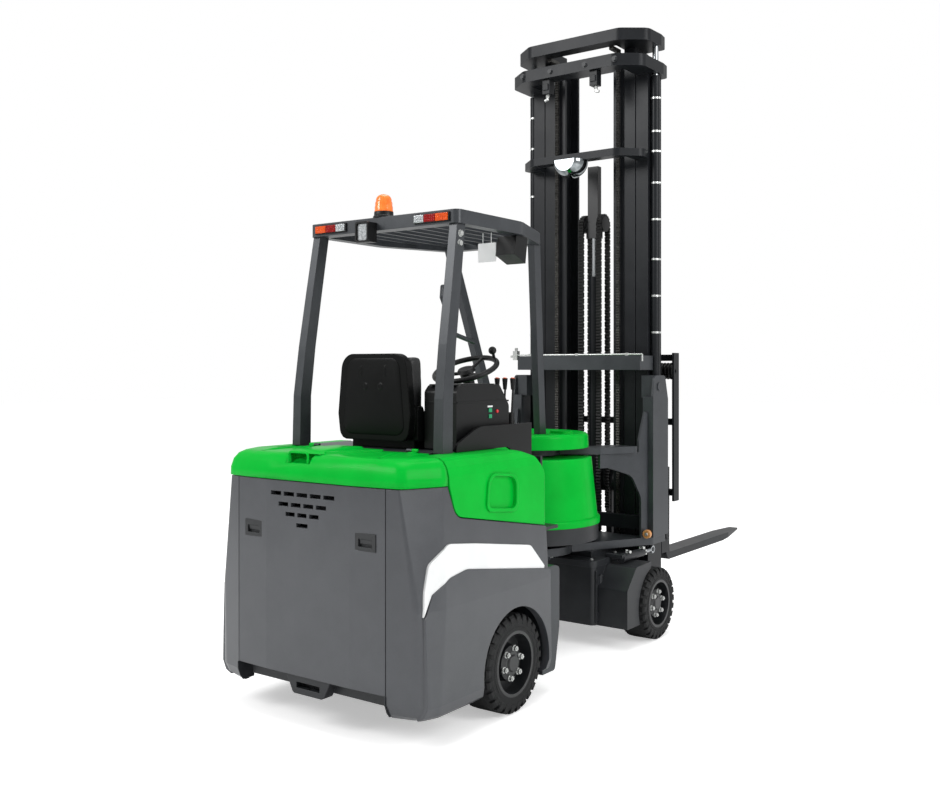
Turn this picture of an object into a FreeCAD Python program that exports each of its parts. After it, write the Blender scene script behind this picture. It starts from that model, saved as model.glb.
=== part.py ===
import FreeCAD, Part
import math
import os
from FreeCAD import Vector

# An electric articulated forklift, in millimetres. X is the driver's right, Y is forward, Z is up.
# Lengths along Y are written from the rear axle. The finished pieces are moved back by ORIGIN_Y,
# so that the origin lies on the ground at the middle of the whole machine.

# Main sizes
WHEELBASE = 1547
PIVOT_Y = 1080
BODY_REAR_Y = -700
BODY_FRONT_Y = 283
BULKHEAD_Y = 458
BODY_HALF = 632
SKIRT_Z = 125
SEAM_Z = 1066
HOOD_TOP_Z = 1182
SKIN = 26
SEAM_GAP = 4
SEAT_GAP = 0.3
RUN_GAP = 0.5

# Rear and front wheels: tyre radius, tyre width, outer face and rim
REAR_TYRE_R = 223
REAR_TYRE_W = 176
REAR_TYRE_OUT = 615
FRONT_TYRE_R = 204
FRONT_TYRE_W = 160
FRONT_TYRE_OUT = 580
SPINDLE_R = 40
SPINDLE_PLAY = 0.5
ARCH_GAP = 42

# Driver's place
FLOOR_Z = 790
DECK_Z = 1182
DECK_HALF = 439.7
HOOD_HINGE_Y = -346
HOOD_AXIS_Z = 1191
SEAT_REAR_Y = -268
SEAT_HALF = 215
WHEEL_CENTRE = Vector(20, 430, 1548)
WHEEL_RAKE = 22
WHEEL_RING_R = 165

# Overhead guard
ROOF_TOP_Z = 2262
ROOF_DEEP = 62
ROOF_REAR_Y = -222
ROOF_BEND_Y = 300
ROOF_FRONT_Y = 722
ROOF_HALF = 456
ROOF_FRONT_HALF = 296
ROOF_RIM = 58
PILLAR_X = 442
PILLAR_W = 52
PILLAR_D = 72

# Articulation: king pin, round nose of the rear chassis, and the front unit's plate and arm
KING_PIN_R = 50
KING_PIN_PLAY = 0.5
NOSE_BASE_R = 386
NOSE_TOP_R = 346
NOSE_CAP_R = 330
NOSE_BASE_Z = 602
NOSE_COVER_Z = 690
ARM_Z = 1065
ARM_THICK = 38
ARM_GAP = 7
NECK_HALF = 168
PLATE_Z = 515
PLATE_THICK = 45
PLATE_BOSS_R = 237
SWING_LIMIT = 90
CAP_Z = ARM_Z + ARM_THICK + ARM_GAP
CAP_TOP_Z = CAP_Z + 82
RISER_HALF = 108

# Front unit
COLUMN_OUT = 495
COLUMN_WALL = 14
COLUMN_REAR_Y = 1640
COLUMN_FRONT_Y = 1842
COLUMN_TOP_Z = 1512
BOX_HALF = 380
BOX_REAR_Y = 1142
BOX_FRONT_Y = 1600
BOX_BOTTOM_Z = 122
BOX_TOP_Z = 480

# Mast: three pairs of rails, each nested inside the one before
RAIL_REAR_Y = 1755
RAIL_DEPTH = 180
RAIL_WEB = 14
RAIL_FLANGE = 18
RAIL_FOOT_Z = 130
RAIL_GAP = 6
OUTER_OUT = 405
OUTER_W = 80
MIDDLE_W = 73
INNER_W = 68
TIE_TOP_Z = 3566
TIE_DEEP = 70
TIE_STEP = 97
LOW_TIE_Z = 2814
LOW_TIE_DEEP = 45
TILT_PIN = (1718, 1446)
LIFT_X = 432
LIFT_Y = 1800
LIFT_BARREL_R = 26
LIFT_ROD_R = 18
LIFT_FOOT_Z = 602
LIFT_STROKE = 2600
FREE_Y = 1825
FREE_BARREL_R = 33
FREE_ROD_R = 20
FREE_TOP_Z = 2130
CHAIN_X = 217
CHAIN_W = 24
FREE_CHAIN_X = 62

# Carriage and forks
CARRIAGE_HALF = 372
CARRIAGE_REAR_Y = 1972
CARRIAGE_FACE_Y = 2104
BACKREST_HALF = 452
BACKREST_LOW_Z = 730
BACKREST_TOP_Z = 1650
FORK_X = 300
FORK_W = 120
FORK_THICK = 45
FORK_TOP_Z = 390
FORK_TIP_Y = 3370

ORIGIN_Y = (BODY_REAR_Y + FORK_TIP_Y) / 2


# Shapes that many pieces share

def box(x0, x1, y0, y1, z0, z1):
    return Part.makeBox(x1 - x0, y1 - y0, z1 - z0, Vector(x0, y0, z0))


def rod(start, end, radius):
    run = end - start
    return Part.makeCylinder(radius, run.Length, start, run)


def tube(start, end, outer, inner):
    return rod(start, end, outer).cut(rod(start, end, inner))


def mirrored(shape):
    return shape.mirror(Vector(0, 0, 0), Vector(1, 0, 0))


def both(shape):
    return [shape, mirrored(shape)]


def joined(shapes):
    first = shapes[0]
    return first.fuse(shapes[1:]).removeSplitter()


def corner_arc(before, corner, after, radius):
    # tangent points and middle of the arc that rounds one corner of an outline
    to_before = (before - corner).normalize()
    to_after = (after - corner).normalize()
    half = to_before.getAngle(to_after) / 2
    reach = radius / math.tan(half)
    bisector = (to_before + to_after).normalize()
    centre = corner + bisector * (radius / math.sin(half))
    return corner + to_before * reach, centre - bisector * radius, corner + to_after * reach


def outline(points):
    # a closed wire of lines; a corner that gives a fourth value is rounded with that radius
    corners = [Vector(*p[:3]) for p in points]
    radii = [p[3] if len(p) > 3 else 0 for p in points]
    count = len(points)
    spans = []
    for i in range(count):
        if radii[i]:
            spans.append(corner_arc(corners[i - 1], corners[i], corners[(i + 1) % count], radii[i]))
        else:
            spans.append((corners[i], None, corners[i]))
    edges = []
    for i in range(count):
        start, middle, end = spans[i]
        following = spans[(i + 1) % count][0]
        if middle is not None:
            edges.append(Part.Arc(start, middle, end).toShape())
        if (following - end).Length > 0.001:
            edges.append(Part.LineSegment(end, following).toShape())
    return Part.Wire(edges)


def side_plate(points, x0, x1):
    # an outline in the Y-Z plane, given thickness along X
    wire = outline([(x0, p[0], p[1]) + tuple(p[2:]) for p in points])
    return Part.Face(wire).extrude(Vector(x1 - x0, 0, 0))


def floor_plate(points, z0, z1):
    # an outline in the X-Y plane, given thickness along Z
    wire = outline([(p[0], p[1], z0) + tuple(p[2:]) for p in points])
    return Part.Face(wire).extrude(Vector(0, 0, z1 - z0))


def front_plate(points, y0, y1):
    # an outline in the X-Z plane, given thickness along Y
    wire = outline([(p[0], y0, p[1]) + tuple(p[2:]) for p in points])
    return Part.Face(wire).extrude(Vector(0, y1 - y0, 0))


def doubled(points):
    # the right half of an outline, from one end of the middle line to the other, made whole
    left = [(-p[0],) + tuple(p[1:]) for p in reversed(points) if p[0] != 0]
    return list(points) + left


def turned(profile, axis_point, axis):
    # a closed profile of points turned a full circle
    return Part.Face(outline(profile)).revolve(axis_point, axis, 360)


def save(name, shapes):
    solids = []
    for shape in shapes:
        solids.extend(shape.Solids)
    result = solids[0] if len(solids) == 1 else Part.makeCompound(solids)
    result = result.copy()
    result.translate(Vector(0, -ORIGIN_Y, 0))
    result.exportStep(f"parts/{name}.step")


# Body skins: the outside of the rear chassis is one form, and each grey panel is cut from it

# level: height, half width of the flat rear, corner x and y, side x and y, rounding of the corner
BODY_LEVELS = [
    (SKIRT_Z, 400, 552, -622, 584, -536, 60),
    (SKIRT_Z + 18, 424, 580, -644, 606, -556, 70),
    (SKIRT_Z + 60, 438, 598, -656, BODY_HALF - 14, -566, 80),
    (570, 440, 584, -662, BODY_HALF - 18, -520, 40),
    (SEAM_Z, 440, 500, -682, 586, -500, 10),
]
# level of the green upper form: height, and how far its outline is drawn in
HOOD_LEVELS = [(SEAM_Z - 8, -7), (1102, -6), (1140, 3), (1166, 20), (1179, 42), (HOOD_TOP_Z, 74)]
FLASH_OUTER = [(-640, 552), (-624, 650), (-592, 755, 50), (-489, 829, 60), (-300, 806), (130, 740, 50), (240, 630)]
FLASH_INNER = [(236, 618), (-370, 708, 110), (-490, 690, 90), (-590, 636)]
FLASH_PROUD = 8
BULGE_PROUD = 12


def body_ring(height, rear, rear_half, corner_x, corner_y, side_x, side_y, rounding):
    front = BODY_FRONT_Y + 220
    return outline(doubled([(0, rear, height), (250, rear, height), (rear_half, rear + 9, height),
                            (corner_x, corner_y, height, rounding), (side_x, side_y, height, rounding * 1.2),
                            (side_x, front, height)]))


def body_form(inset):
    wires = []
    for height, rear_half, corner_x, corner_y, side_x, side_y, rounding in BODY_LEVELS:
        drawn = max(0, (SKIRT_Z + 60 - height) * 0.45)
        wires.append(body_ring(height, BODY_REAR_Y + inset + drawn, rear_half, corner_x - inset, corner_y + inset,
                               side_x - inset, side_y + inset / 2, rounding))
    return Part.makeLoft(wires, True, True)


def hood_form(thick):
    wires = []
    low = HOOD_LEVELS[0][0]
    squeeze = 1 - thick / (HOOD_TOP_Z - low)
    for height, drawn in HOOD_LEVELS:
        inset = drawn + thick
        top = low + (height - low) * squeeze if thick else height
        wires.append(body_ring(top, BODY_REAR_Y + inset, 400 - inset, 512 - inset, -676 + inset,
                               586 - inset, -500 + inset / 2, 55))
    return Part.makeLoft(wires, True, True)


def arch_cut(axle_y, axle_z, radius, x0, x1):
    return rod(Vector(x0, axle_y, axle_z), Vector(x1, axle_y, axle_z), radius)


FENDER_OUTLINE = [(-760, 100), (BODY_FRONT_Y, 100), (BODY_FRONT_Y, 808), (-420, 928, 75),
                  (-466, SEAM_Z - SEAM_GAP), (-760, SEAM_Z - SEAM_GAP)]
SIDE_OUTLINE = [(-469, 1190), (-462, SEAM_Z), (-416, 932, 75), (BODY_FRONT_Y, 812), (BODY_FRONT_Y, 1066, 60),
                (214, 1142, 70), (110, 1174, 200), (0, 1190)]


def make_fenders(skin):
    region = side_plate(FENDER_OUTLINE, 442, 760)
    opening = arch_cut(0, REAR_TYRE_R - 8, REAR_TYRE_R + ARCH_GAP, 300, 760)
    right = skin.common(region)
    # below the flash the fender stands a little proud of the side
    bulge_outline = [(-636, 100), (-636, 548)] + FLASH_INNER[::-1] + [(BODY_FRONT_Y, 606), (BODY_FRONT_Y, 100)]
    bulge = body_form(-BULGE_PROUD).cut(body_form(0)).common(side_plate(bulge_outline, 560, 760))
    # the bracket that holds the fender on the frame's side plate
    bracket = box(401 + SEAT_GAP, 640, -600, -330, 500, 520).common(body_form(5))
    save("fenders", both(joined([right, bulge, bracket]).cut(opening)))


def make_flashes():
    # white flash over each wheel arch: the same side face, a little proud
    region = side_plate(FLASH_OUTER + FLASH_INNER, 470, 760)
    proud = body_form(-FLASH_PROUD).cut(body_form(0)).common(region)
    save("fender_flashes", both(proud))


def make_side_panels():
    form = hood_form(0)
    low_form = floor_plate([(440, -480), (593, -480), (593, 400), (440, 400)], 800, SEAM_Z - 8)
    outer = joined([low_form, form.common(box(440, 700, -480, 400, SEAM_Z - 8, 1300))])
    solid = side_plate(SIDE_OUTLINE, 440, 700).common(outer)
    inside = side_plate([(-500, 1110), (-440, 1066), (-392, 960, 60), (BODY_FRONT_Y - SKIN, 840),
                         (BODY_FRONT_Y - SKIN, 1052, 50), (196, 1116, 60), (90, 1146), (-500, 1146)], 400, 564)
    right = solid.cut(inside)
    # pressed handle recess with a raised rim
    rim = side_plate([(-206, 928, 40), (46, 902, 40), (46, 1074, 60), (-186, 1098, 60)], 560, 601)
    dish = side_plate([(-190, 944, 30), (30, 920, 30), (30, 1062, 50), (-172, 1084, 50)], 583, 640)
    right = joined([right, rim]).cut(dish)
    # the left panel stops short, because the driver steps in there
    left = mirrored(right).cut(box(-700, 0, 60, 400, 700, 1300))
    save("side_panels", [right, left])


def make_rear_cover(skin):
    cover = skin.common(box(-438, 438, -760, -600, 220, SEAM_Z - SEAM_GAP))
    slots = []
    # row: height, number of slots, slot width
    for height, count, width in [(996, 5, 64), (950, 4, 60), (908, 3, 56), (864, 1, 68)]:
        pitch = width + 16
        for i in range(count):
            middle = -28 + (i - (count - 1) / 2) * pitch
            slots.append(box(middle - width / 2, middle + width / 2, -760, -600, height, height + 18))
    for side in (-1, 1):
        middle = side * 335
        slots.append(box(middle - 54, middle + 54, -760, BODY_REAR_Y + 18, 802, 872))
    save("rear_cover", [cover.cut(Part.makeCompound(slots))])


def hinge_eyes(x0, x1, y_out):
    # one leaf and its eye on the hood's hinge line
    centre_y = HOOD_HINGE_Y - RUN_GAP / 2
    eye = rod(Vector(x0, centre_y, HOOD_AXIS_Z), Vector(x1, centre_y, HOOD_AXIS_Z), 8)
    leaf = box(x0, x1, min(centre_y, y_out), max(centre_y, y_out), HOOD_TOP_Z, HOOD_TOP_Z + 4)
    return joined([eye, leaf])


def make_hood():
    skin = hood_form(0).cut(hood_form(SKIN)).cut(box(-440, 440, -444, 600, 1000, 1300))
    rear_part = skin.common(box(-700, 700, -760, -469 - SEAM_GAP, SEAM_Z, 1300))
    top = box(-500, 500, -520, -444, HOOD_TOP_Z - SKIN, HOOD_TOP_Z).common(hood_form(0))
    top = top.common(box(-500, 500, -520, -469 - SEAM_GAP, 1000, 1300))
    middle = box(-392, 392, -475, HOOD_HINGE_Y - RUN_GAP, HOOD_TOP_Z - SKIN, HOOD_TOP_Z)
    raised = floor_plate([(-150, -628, 15), (40, -628, 15), (170, -372, 15), (-250, -372, 15)], HOOD_TOP_Z, 1191)
    hood = joined([rear_part, top, middle, raised])
    grip = floor_plate([(-136, -720), (14, -720), (14, -622, 20), (-136, -622, 20)], 1140, 1210)
    hood = hood.cut(grip.cut(hood_form(24)))
    handle = [rod(Vector(x, -680, 1140), Vector(x, -640, 1178), 7) for x in (-120, -2)]
    handle.append(rod(Vector(-120, -664, 1155), Vector(-2, -664, 1155), 7))
    pieces = [hood] + both(hinge_eyes(300, 330, HOOD_HINGE_Y - 34))
    save("hood", [joined(pieces)])


# Rear chassis

def king_bore(z0, z1):
    return rod(Vector(0, PIVOT_Y, z0), Vector(0, PIVOT_Y, z1), KING_PIN_R + KING_PIN_PLAY)


def hitch_plate():
    plate = front_plate([(-130, 217), (130, 217), (90, 140, 20), (-90, 140, 20)], -692, -636)
    slot = box(-70, 70, -700, -650, 166, 192)
    pin_hole = rod(Vector(0, -672, 100), Vector(0, -672, 400), 15)
    return plate.cut(slot).cut(pin_hole)


def make_rear_frame():
    tray_z = 470
    side = side_plate([(-640, 300), (-150, 300), (-110, 450), (110, 450), (150, 300), (BULKHEAD_Y, 300),
                       (BULKHEAD_Y, 1120), (BULKHEAD_Y - 60, 1120), (30, FLOOR_Z), (30, 560), (-640, 560)], 385, 401)
    pieces = both(side)
    pieces.append(box(-401, 401, -640, 30, tray_z, tray_z + 16))
    pieces.append(box(-401, 401, -640, -620, 160, 900))
    pieces += both(box(360, 401, BODY_REAR_Y + SKIN + 7.5, -620, 240, 900))
    pieces.append(box(-560, 560, 30, BULKHEAD_Y, FLOOR_Z - 16, FLOOR_Z))
    pieces.append(box(-470, 470, BULKHEAD_Y - 16, BULKHEAD_Y, 200, 1120))
    pieces.append(box(-401, 401, 14, 30, 450, FLOOR_Z))
    pieces.append(hitch_plate())
    save("rear_frame", [joined(pieces)])


def king_pin():
    return rod(Vector(0, PIVOT_Y, PLATE_Z - 30), Vector(0, PIVOT_Y, CAP_Z), KING_PIN_R)


def make_battery():
    save("battery", [box(-380, 380, -610, 10, 486 + SEAT_GAP, 1120)])


def make_rear_axle():
    axle_z = REAR_TYRE_R
    beam = box(-330, 330, -75, 75, axle_z - 70, axle_z + 62)
    hub = rod(Vector(300, 0, axle_z), Vector(420, 0, axle_z), 105)
    spindle = rod(Vector(400, 0, axle_z), Vector(REAR_TYRE_OUT - 60, 0, axle_z), SPINDLE_R)
    mount = box(320, 384, -60, 14 - SEAT_GAP, axle_z + 50, 470 - SEAT_GAP)
    pieces = [beam] + both(hub) + both(spindle) + both(mount)
    save("rear_axle", [joined(pieces)])


def make_nose_base():
    # the neck, the round base and the king pin carry the whole front unit
    top = NOSE_COVER_Z - SEAT_GAP
    neck = box(-NECK_HALF, NECK_HALF, BULKHEAD_Y + SEAT_GAP, PIVOT_Y, NOSE_BASE_Z, top)
    base = Part.makeCylinder(NOSE_BASE_R, top - NOSE_BASE_Z, Vector(0, PIVOT_Y, NOSE_BASE_Z))
    save("nose_base", [joined([neck, base, king_pin()])])


def make_nose():
    centre = Vector(0, PIVOT_Y, 0)
    slot_z = ARM_Z - ARM_GAP
    profile = [(KING_PIN_R, PIVOT_Y, NOSE_COVER_Z), (NOSE_BASE_R + 8, PIVOT_Y, NOSE_COVER_Z),
               (NOSE_BASE_R + 8, PIVOT_Y, NOSE_COVER_Z + 34, 8), (NOSE_BASE_R - 6, PIVOT_Y, NOSE_COVER_Z + 40),
               (NOSE_TOP_R, PIVOT_Y, slot_z, 10), (KING_PIN_R, PIVOT_Y, slot_z)]
    drum = turned(profile, centre, Vector(0, 0, 1))
    neck = side_plate([(BULKHEAD_Y, NOSE_COVER_Z), (PIVOT_Y, NOSE_COVER_Z), (PIVOT_Y, slot_z), (BULKHEAD_Y, slot_z)],
                      -NECK_HALF, NECK_HALF)
    neck = neck.cut(rod(Vector(0, PIVOT_Y, 600), Vector(0, PIVOT_Y, 1200), KING_PIN_R))
    cap_z = CAP_Z
    # behind the arm's swing the cover rises to carry the cap
    riser = floor_plate(doubled([(0, BULKHEAD_Y), (NECK_HALF, BULKHEAD_Y), (NECK_HALF, PIVOT_Y - 335),
                                 (RISER_HALF, PIVOT_Y - PLATE_BOSS_R - 12), (0, PIVOT_Y - PLATE_BOSS_R - 12)]),
                        slot_z, cap_z)
    save("nose_cover", [joined([drum, neck, riser])])
    top_z = CAP_TOP_Z
    cap_profile = [(0, PIVOT_Y, cap_z), (NOSE_CAP_R, PIVOT_Y, cap_z), (NOSE_CAP_R - 4, PIVOT_Y, top_z, 22),
                   (0, PIVOT_Y, top_z)]
    cap = turned(cap_profile, centre, Vector(0, 0, 1))
    lid = floor_plate([(-NECK_HALF, BULKHEAD_Y), (NECK_HALF, BULKHEAD_Y), (NECK_HALF, PIVOT_Y), (-NECK_HALF, PIVOT_Y)],
                      cap_z, top_z)
    knob = floor_plate([(150, 1020, 30), (270, 1020, 30), (270, 1120, 30), (150, 1120, 30)], top_z, top_z + 14)
    save("nose_cap", [joined([cap, lid, knob])])


def make_steps():
    face = BULKHEAD_Y - 16 - SEAT_GAP
    step = side_plate([(BODY_FRONT_Y + 4, 95), (400, 95, 20), (face, 300, 60), (face, 590, 25), (400, 602, 20),
                       (BODY_FRONT_Y + 4, 602)], 430, 578)
    hollow = side_plate([(BODY_FRONT_Y + 22, 60), (380, 60), (418, 300, 60), (418, 575), (BODY_FRONT_Y + 22, 575)],
                        430, 560)
    save("steps", both(step.cut(hollow)))


def make_deck():
    half = DECK_HALF
    deck = floor_plate([(-392, HOOD_HINGE_Y), (392, HOOD_HINGE_Y), (392, -250), (half, -250), (half, 29.7, 20),
                        (-half, 29.7, 20), (-half, -250), (-392, -250)], DECK_Z - 18, DECK_Z)
    front = box(-half, half, 14, 29.7, FLOOR_Z + SEAT_GAP, DECK_Z - 18)
    eyes = both(hinge_eyes(269, 299.5, HOOD_HINGE_Y + 34))
    save("deck", [joined([deck, front] + eyes)])


# Driver's place

def make_seat():
    shell_low = DECK_Z + 38
    shell_top = DECK_Z + 440
    base = box(-190, 190, -200, 190, DECK_Z, DECK_Z + 60)
    back = front_plate([(-SEAT_HALF + 10, shell_low, 50), (SEAT_HALF - 10, shell_low, 50),
                        (SEAT_HALF + 6, shell_low + 120, 60), (SEAT_HALF - 22, shell_top, 75),
                        (-SEAT_HALF + 22, shell_top, 75), (-SEAT_HALF - 6, shell_low + 120, 60)],
                       SEAT_REAR_Y, SEAT_REAR_Y + 40)
    bracket = side_plate([(-228, DECK_Z + 40, 10), (-120, DECK_Z + 40, 10), (-190, DECK_Z + 200, 20),
                          (-228, DECK_Z + 200, 20)], 205, 232)
    joint = box(180, 232, -200, -130, DECK_Z + 40, DECK_Z + 60)
    arm = mirrored(box(238, 284, -190, 60, DECK_Z + 205, DECK_Z + 232))
    post = mirrored(box(230, 244, -190, -150, DECK_Z + 100, DECK_Z + 226))
    pieces = [base, back] + both(bracket) + both(joint) + [arm, post]
    save("seat_shell", [joined(pieces)])
    pad = box(-204, 204, -175, 250, DECK_Z + 60.3, DECK_Z + 150)
    pad = pad.makeFillet(25, pad.Edges)
    rest = box(-200, 200, SEAT_REAR_Y + 40.3, SEAT_REAR_Y + 130, DECK_Z + 158, shell_top - 12)
    rest = rest.makeFillet(25, rest.Edges)
    save("seat_cushions", [pad, rest])


def make_console():
    body = side_plate([(-190, DECK_Z + SEAT_GAP, 10), (230, DECK_Z + SEAT_GAP), (230, 1380, 30), (150, 1478, 25),
                       (-160, 1478, 30), (-190, 1448, 20)], 242, 424)
    levers = []
    for i in range(3):
        x = 296 + i * 46
        foot = Vector(x, 300, 1240)
        top = Vector(x, 322, 1490)
        levers.append(joined([Part.makeCone(24, 15, 90, foot + Vector(0, 0, 10)), rod(foot, top, 5),
                              Part.makeCone(9, 14, 55, top - Vector(0, 5, 40))]))
    shelf = box(262, 456 - SEAT_GAP, 230 + SEAT_GAP, 360, 1216, 1240)
    button = joined([shelf, rod(Vector(430, 250, 1240), Vector(430, 250, 1262), 12),
                     rod(Vector(430, 250, 1262), Vector(430, 250, 1282), 20)])
    save("controls", [joined([button] + levers)])
    shield = side_plate([(-250, DECK_Z + 2), (-250, 1215, 40), (-80, 1290, 200), (360, 1290), (360, 1080), (300, 1080),
                         (230, 1150, 60), (150, DECK_Z + 2)], 456, 470)
    save("console", [body, shield])


def make_steering():
    tilt = math.radians(WHEEL_RAKE)
    axis = Vector(0, -math.sin(tilt), math.cos(tilt))
    foot = WHEEL_CENTRE - axis * 358
    column = joined([rod(foot, WHEEL_CENTRE - axis * 34, 30), rod(foot, foot + axis * 230, 62)])
    save("steering_column", [column])
    ring = Part.makeTorus(WHEEL_RING_R, 14, WHEEL_CENTRE, axis)
    hub = rod(WHEEL_CENTRE - axis * 33.5, WHEEL_CENTRE - axis * 5, 36)
    pieces = [ring, hub]
    side = Vector(1, 0, 0)
    forward = axis.cross(side)
    for turn in (90, 210, 330):
        angle = math.radians(turn)
        out = side * math.cos(angle) + forward * math.sin(angle)
        pieces.append(rod(WHEEL_CENTRE - axis * 18 + out * 20, WHEEL_CENTRE + out * WHEEL_RING_R, 9))
    angle = math.radians(55)
    out = side * math.cos(angle) + forward * math.sin(angle)
    stem = WHEEL_CENTRE + out * WHEEL_RING_R
    pieces.append(rod(stem, stem + axis * 45, 8))
    pieces.append(Part.makeSphere(21, stem + axis * 52))
    save("steering_wheel", [joined(pieces)])
    return foot, axis


# Overhead guard

def pillar(points, width_x, depth_y, taper=1.0):
    # a square post through a list of points (x, y, z), its last section drawn in by taper
    wires = []
    for i, (x, y, z) in enumerate(points):
        share = 1 - (1 - taper) * i / (len(points) - 1)
        w = width_x / 2 * share
        d = depth_y / 2 * share
        wires.append(outline([(x - w, y - d, z), (x + w, y - d, z), (x + w, y + d, z), (x - w, y + d, z)]))
    return Part.makeLoft(wires, True, True)


def make_guard():
    top = ROOF_TOP_Z
    low = top - ROOF_DEEP
    rear = pillar([(434, -301, DECK_Z + SEAT_GAP), (434, -296, 1420), (431, -266, 1660), (427, -222, 1930),
                   (421, -178, low)], PILLAR_W, PILLAR_D, 0.84)
    # the two front legs lean inwards and stand on the round nose of the rear chassis
    front = pillar([(147, 950, CAP_TOP_Z + SEAT_GAP), (200, 838, 1620), (273, 690, low)], 40, 60)
    save("guard_pillars", both(rear) + both(front))
    rear_half = [(0, ROOF_REAR_Y), (ROOF_HALF, ROOF_REAR_Y, 30), (ROOF_HALF, ROOF_BEND_Y, 150),
                 (ROOF_FRONT_HALF, ROOF_FRONT_Y, 40), (0, ROOF_FRONT_Y)]
    rim = ROOF_RIM
    inner_half = [(0, ROOF_REAR_Y + 74), (ROOF_HALF - rim, ROOF_REAR_Y + 74, 20),
                  (ROOF_HALF - rim, ROOF_BEND_Y - 14, 120), (ROOF_FRONT_HALF - rim * 0.6, ROOF_FRONT_Y - rim, 20),
                  (0, ROOF_FRONT_Y - rim)]
    frame = floor_plate(doubled(rear_half), low, top).cut(floor_plate(doubled(inner_half), low - 5, top + 5))
    bars = []
    for i in range(-4, 5):
        x = i * 84
        length_cut = max(0, abs(x) - ROOF_FRONT_HALF + 60) * 2.1
        bars.append(box(x - 6, x + 6, ROOF_REAR_Y + 60, ROOF_FRONT_Y - 30 - length_cut, top - 40, top - 6))
    save("overhead_guard", [joined([frame] + bars)])
    # loop handle on the left front leg, where the driver climbs in
    grab_points = [Vector(-262, 700, 2010), Vector(-262, 600, 2000), Vector(-236, 560, 1940),
                   Vector(-210, 640, 1740), Vector(-196, 800, 1700)]
    bars = [rod(grab_points[i], grab_points[i + 1], 13) for i in range(4)]
    bars += [Part.makeSphere(13, p) for p in grab_points[1:4]]
    handle = joined(bars).cut(Part.makeCompound(both(front)))
    save("grab_handle", [max(handle.Solids, key=lambda solid: solid.Volume)])


def make_lamps():
    face_y = ROOF_REAR_Y
    lamps = []
    for side in (-1, 1):
        middle = side * 311
        lamps.append(box(middle - 102, middle + 102, face_y - 8, face_y - 0.3, ROOF_TOP_Z - 52, ROOF_TOP_Z - 10))
    work = box(-92, -18, face_y - 56, face_y - 0.3, ROOF_TOP_Z - 118, ROOF_TOP_Z - 26)
    beacon = joined([Part.makeCylinder(52, 26, Vector(-15, -176, ROOF_TOP_Z)),
                     Part.makeCone(45, 41, 92, Vector(-15, -176, ROOF_TOP_Z + 26))])
    save("beacon", [beacon])
    speaker = side_plate([(270, 2105), (370, 2068), (390, 2196, 8), (290, 2199.7, 8)], 318, 428)
    save("lamps", lamps + [work, speaker])


# Wheels

def make_wheel(name, side, y, radius, width, outside):
    middle_x = side * (outside - width / 2)
    half = width / 2
    rim_r = radius * 0.66
    axis = Vector(1, 0, 0)
    z = radius
    centre = Vector(0, y, z)
    shoulder = 24
    tyre_profile = [(middle_x - half, y, z + rim_r), (middle_x + half, y, z + rim_r),
                    (middle_x + half, y, z + radius - shoulder, 14), (middle_x + half - shoulder, y, z + radius, 14),
                    (middle_x - half + shoulder, y, z + radius, 14), (middle_x - half, y, z + radius - shoulder, 14)]
    save(f"{name}_tyre", [turned(tyre_profile, centre, axis)])
    bore = SPINDLE_R + SPINDLE_PLAY
    out = middle_x + side * half
    inner = middle_x - side * half
    disc = out - side * 62
    rim_profile = [(inner, y, z + rim_r), (out, y, z + rim_r), (out, y, z + rim_r - 14),
                   (disc, y, z + rim_r - 20), (disc, y, z + 86), (out - side * 26, y, z + 78),
                   (out - side * 16, y, z + 52), (out - side * 16, y, z), (out - side * 56, y, z),
                   (out - side * 56, y, z + bore), (inner + side * 4, y, z + bore),
                   (inner + side * 4, y, z + 90), (inner, y, z + rim_r - 14)]
    save(f"{name}_rim", [turned(rim_profile, centre, axis)])


# Front unit

def make_turn_plate():
    z1 = PLATE_Z + PLATE_THICK
    edge = [(PLATE_BOSS_R * 0.93, PIVOT_Y + 90), (480, 1660, 60), (480, COLUMN_FRONT_Y, 12), (416, COLUMN_FRONT_Y, 12),
            (416, 1672), (0, 1672)]
    wing = floor_plate(doubled([(0, PIVOT_Y + 90)] + edge), PLATE_Z, z1)
    boss = Part.makeCylinder(PLATE_BOSS_R, PLATE_THICK, Vector(0, PIVOT_Y, PLATE_Z))
    housing = Part.makeCylinder(150, 34, Vector(0, PIVOT_Y, PLATE_Z - 34))
    plate = joined([wing, boss, housing]).cut(king_bore(400, 700))
    save("turn_plate", [plate])


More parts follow.
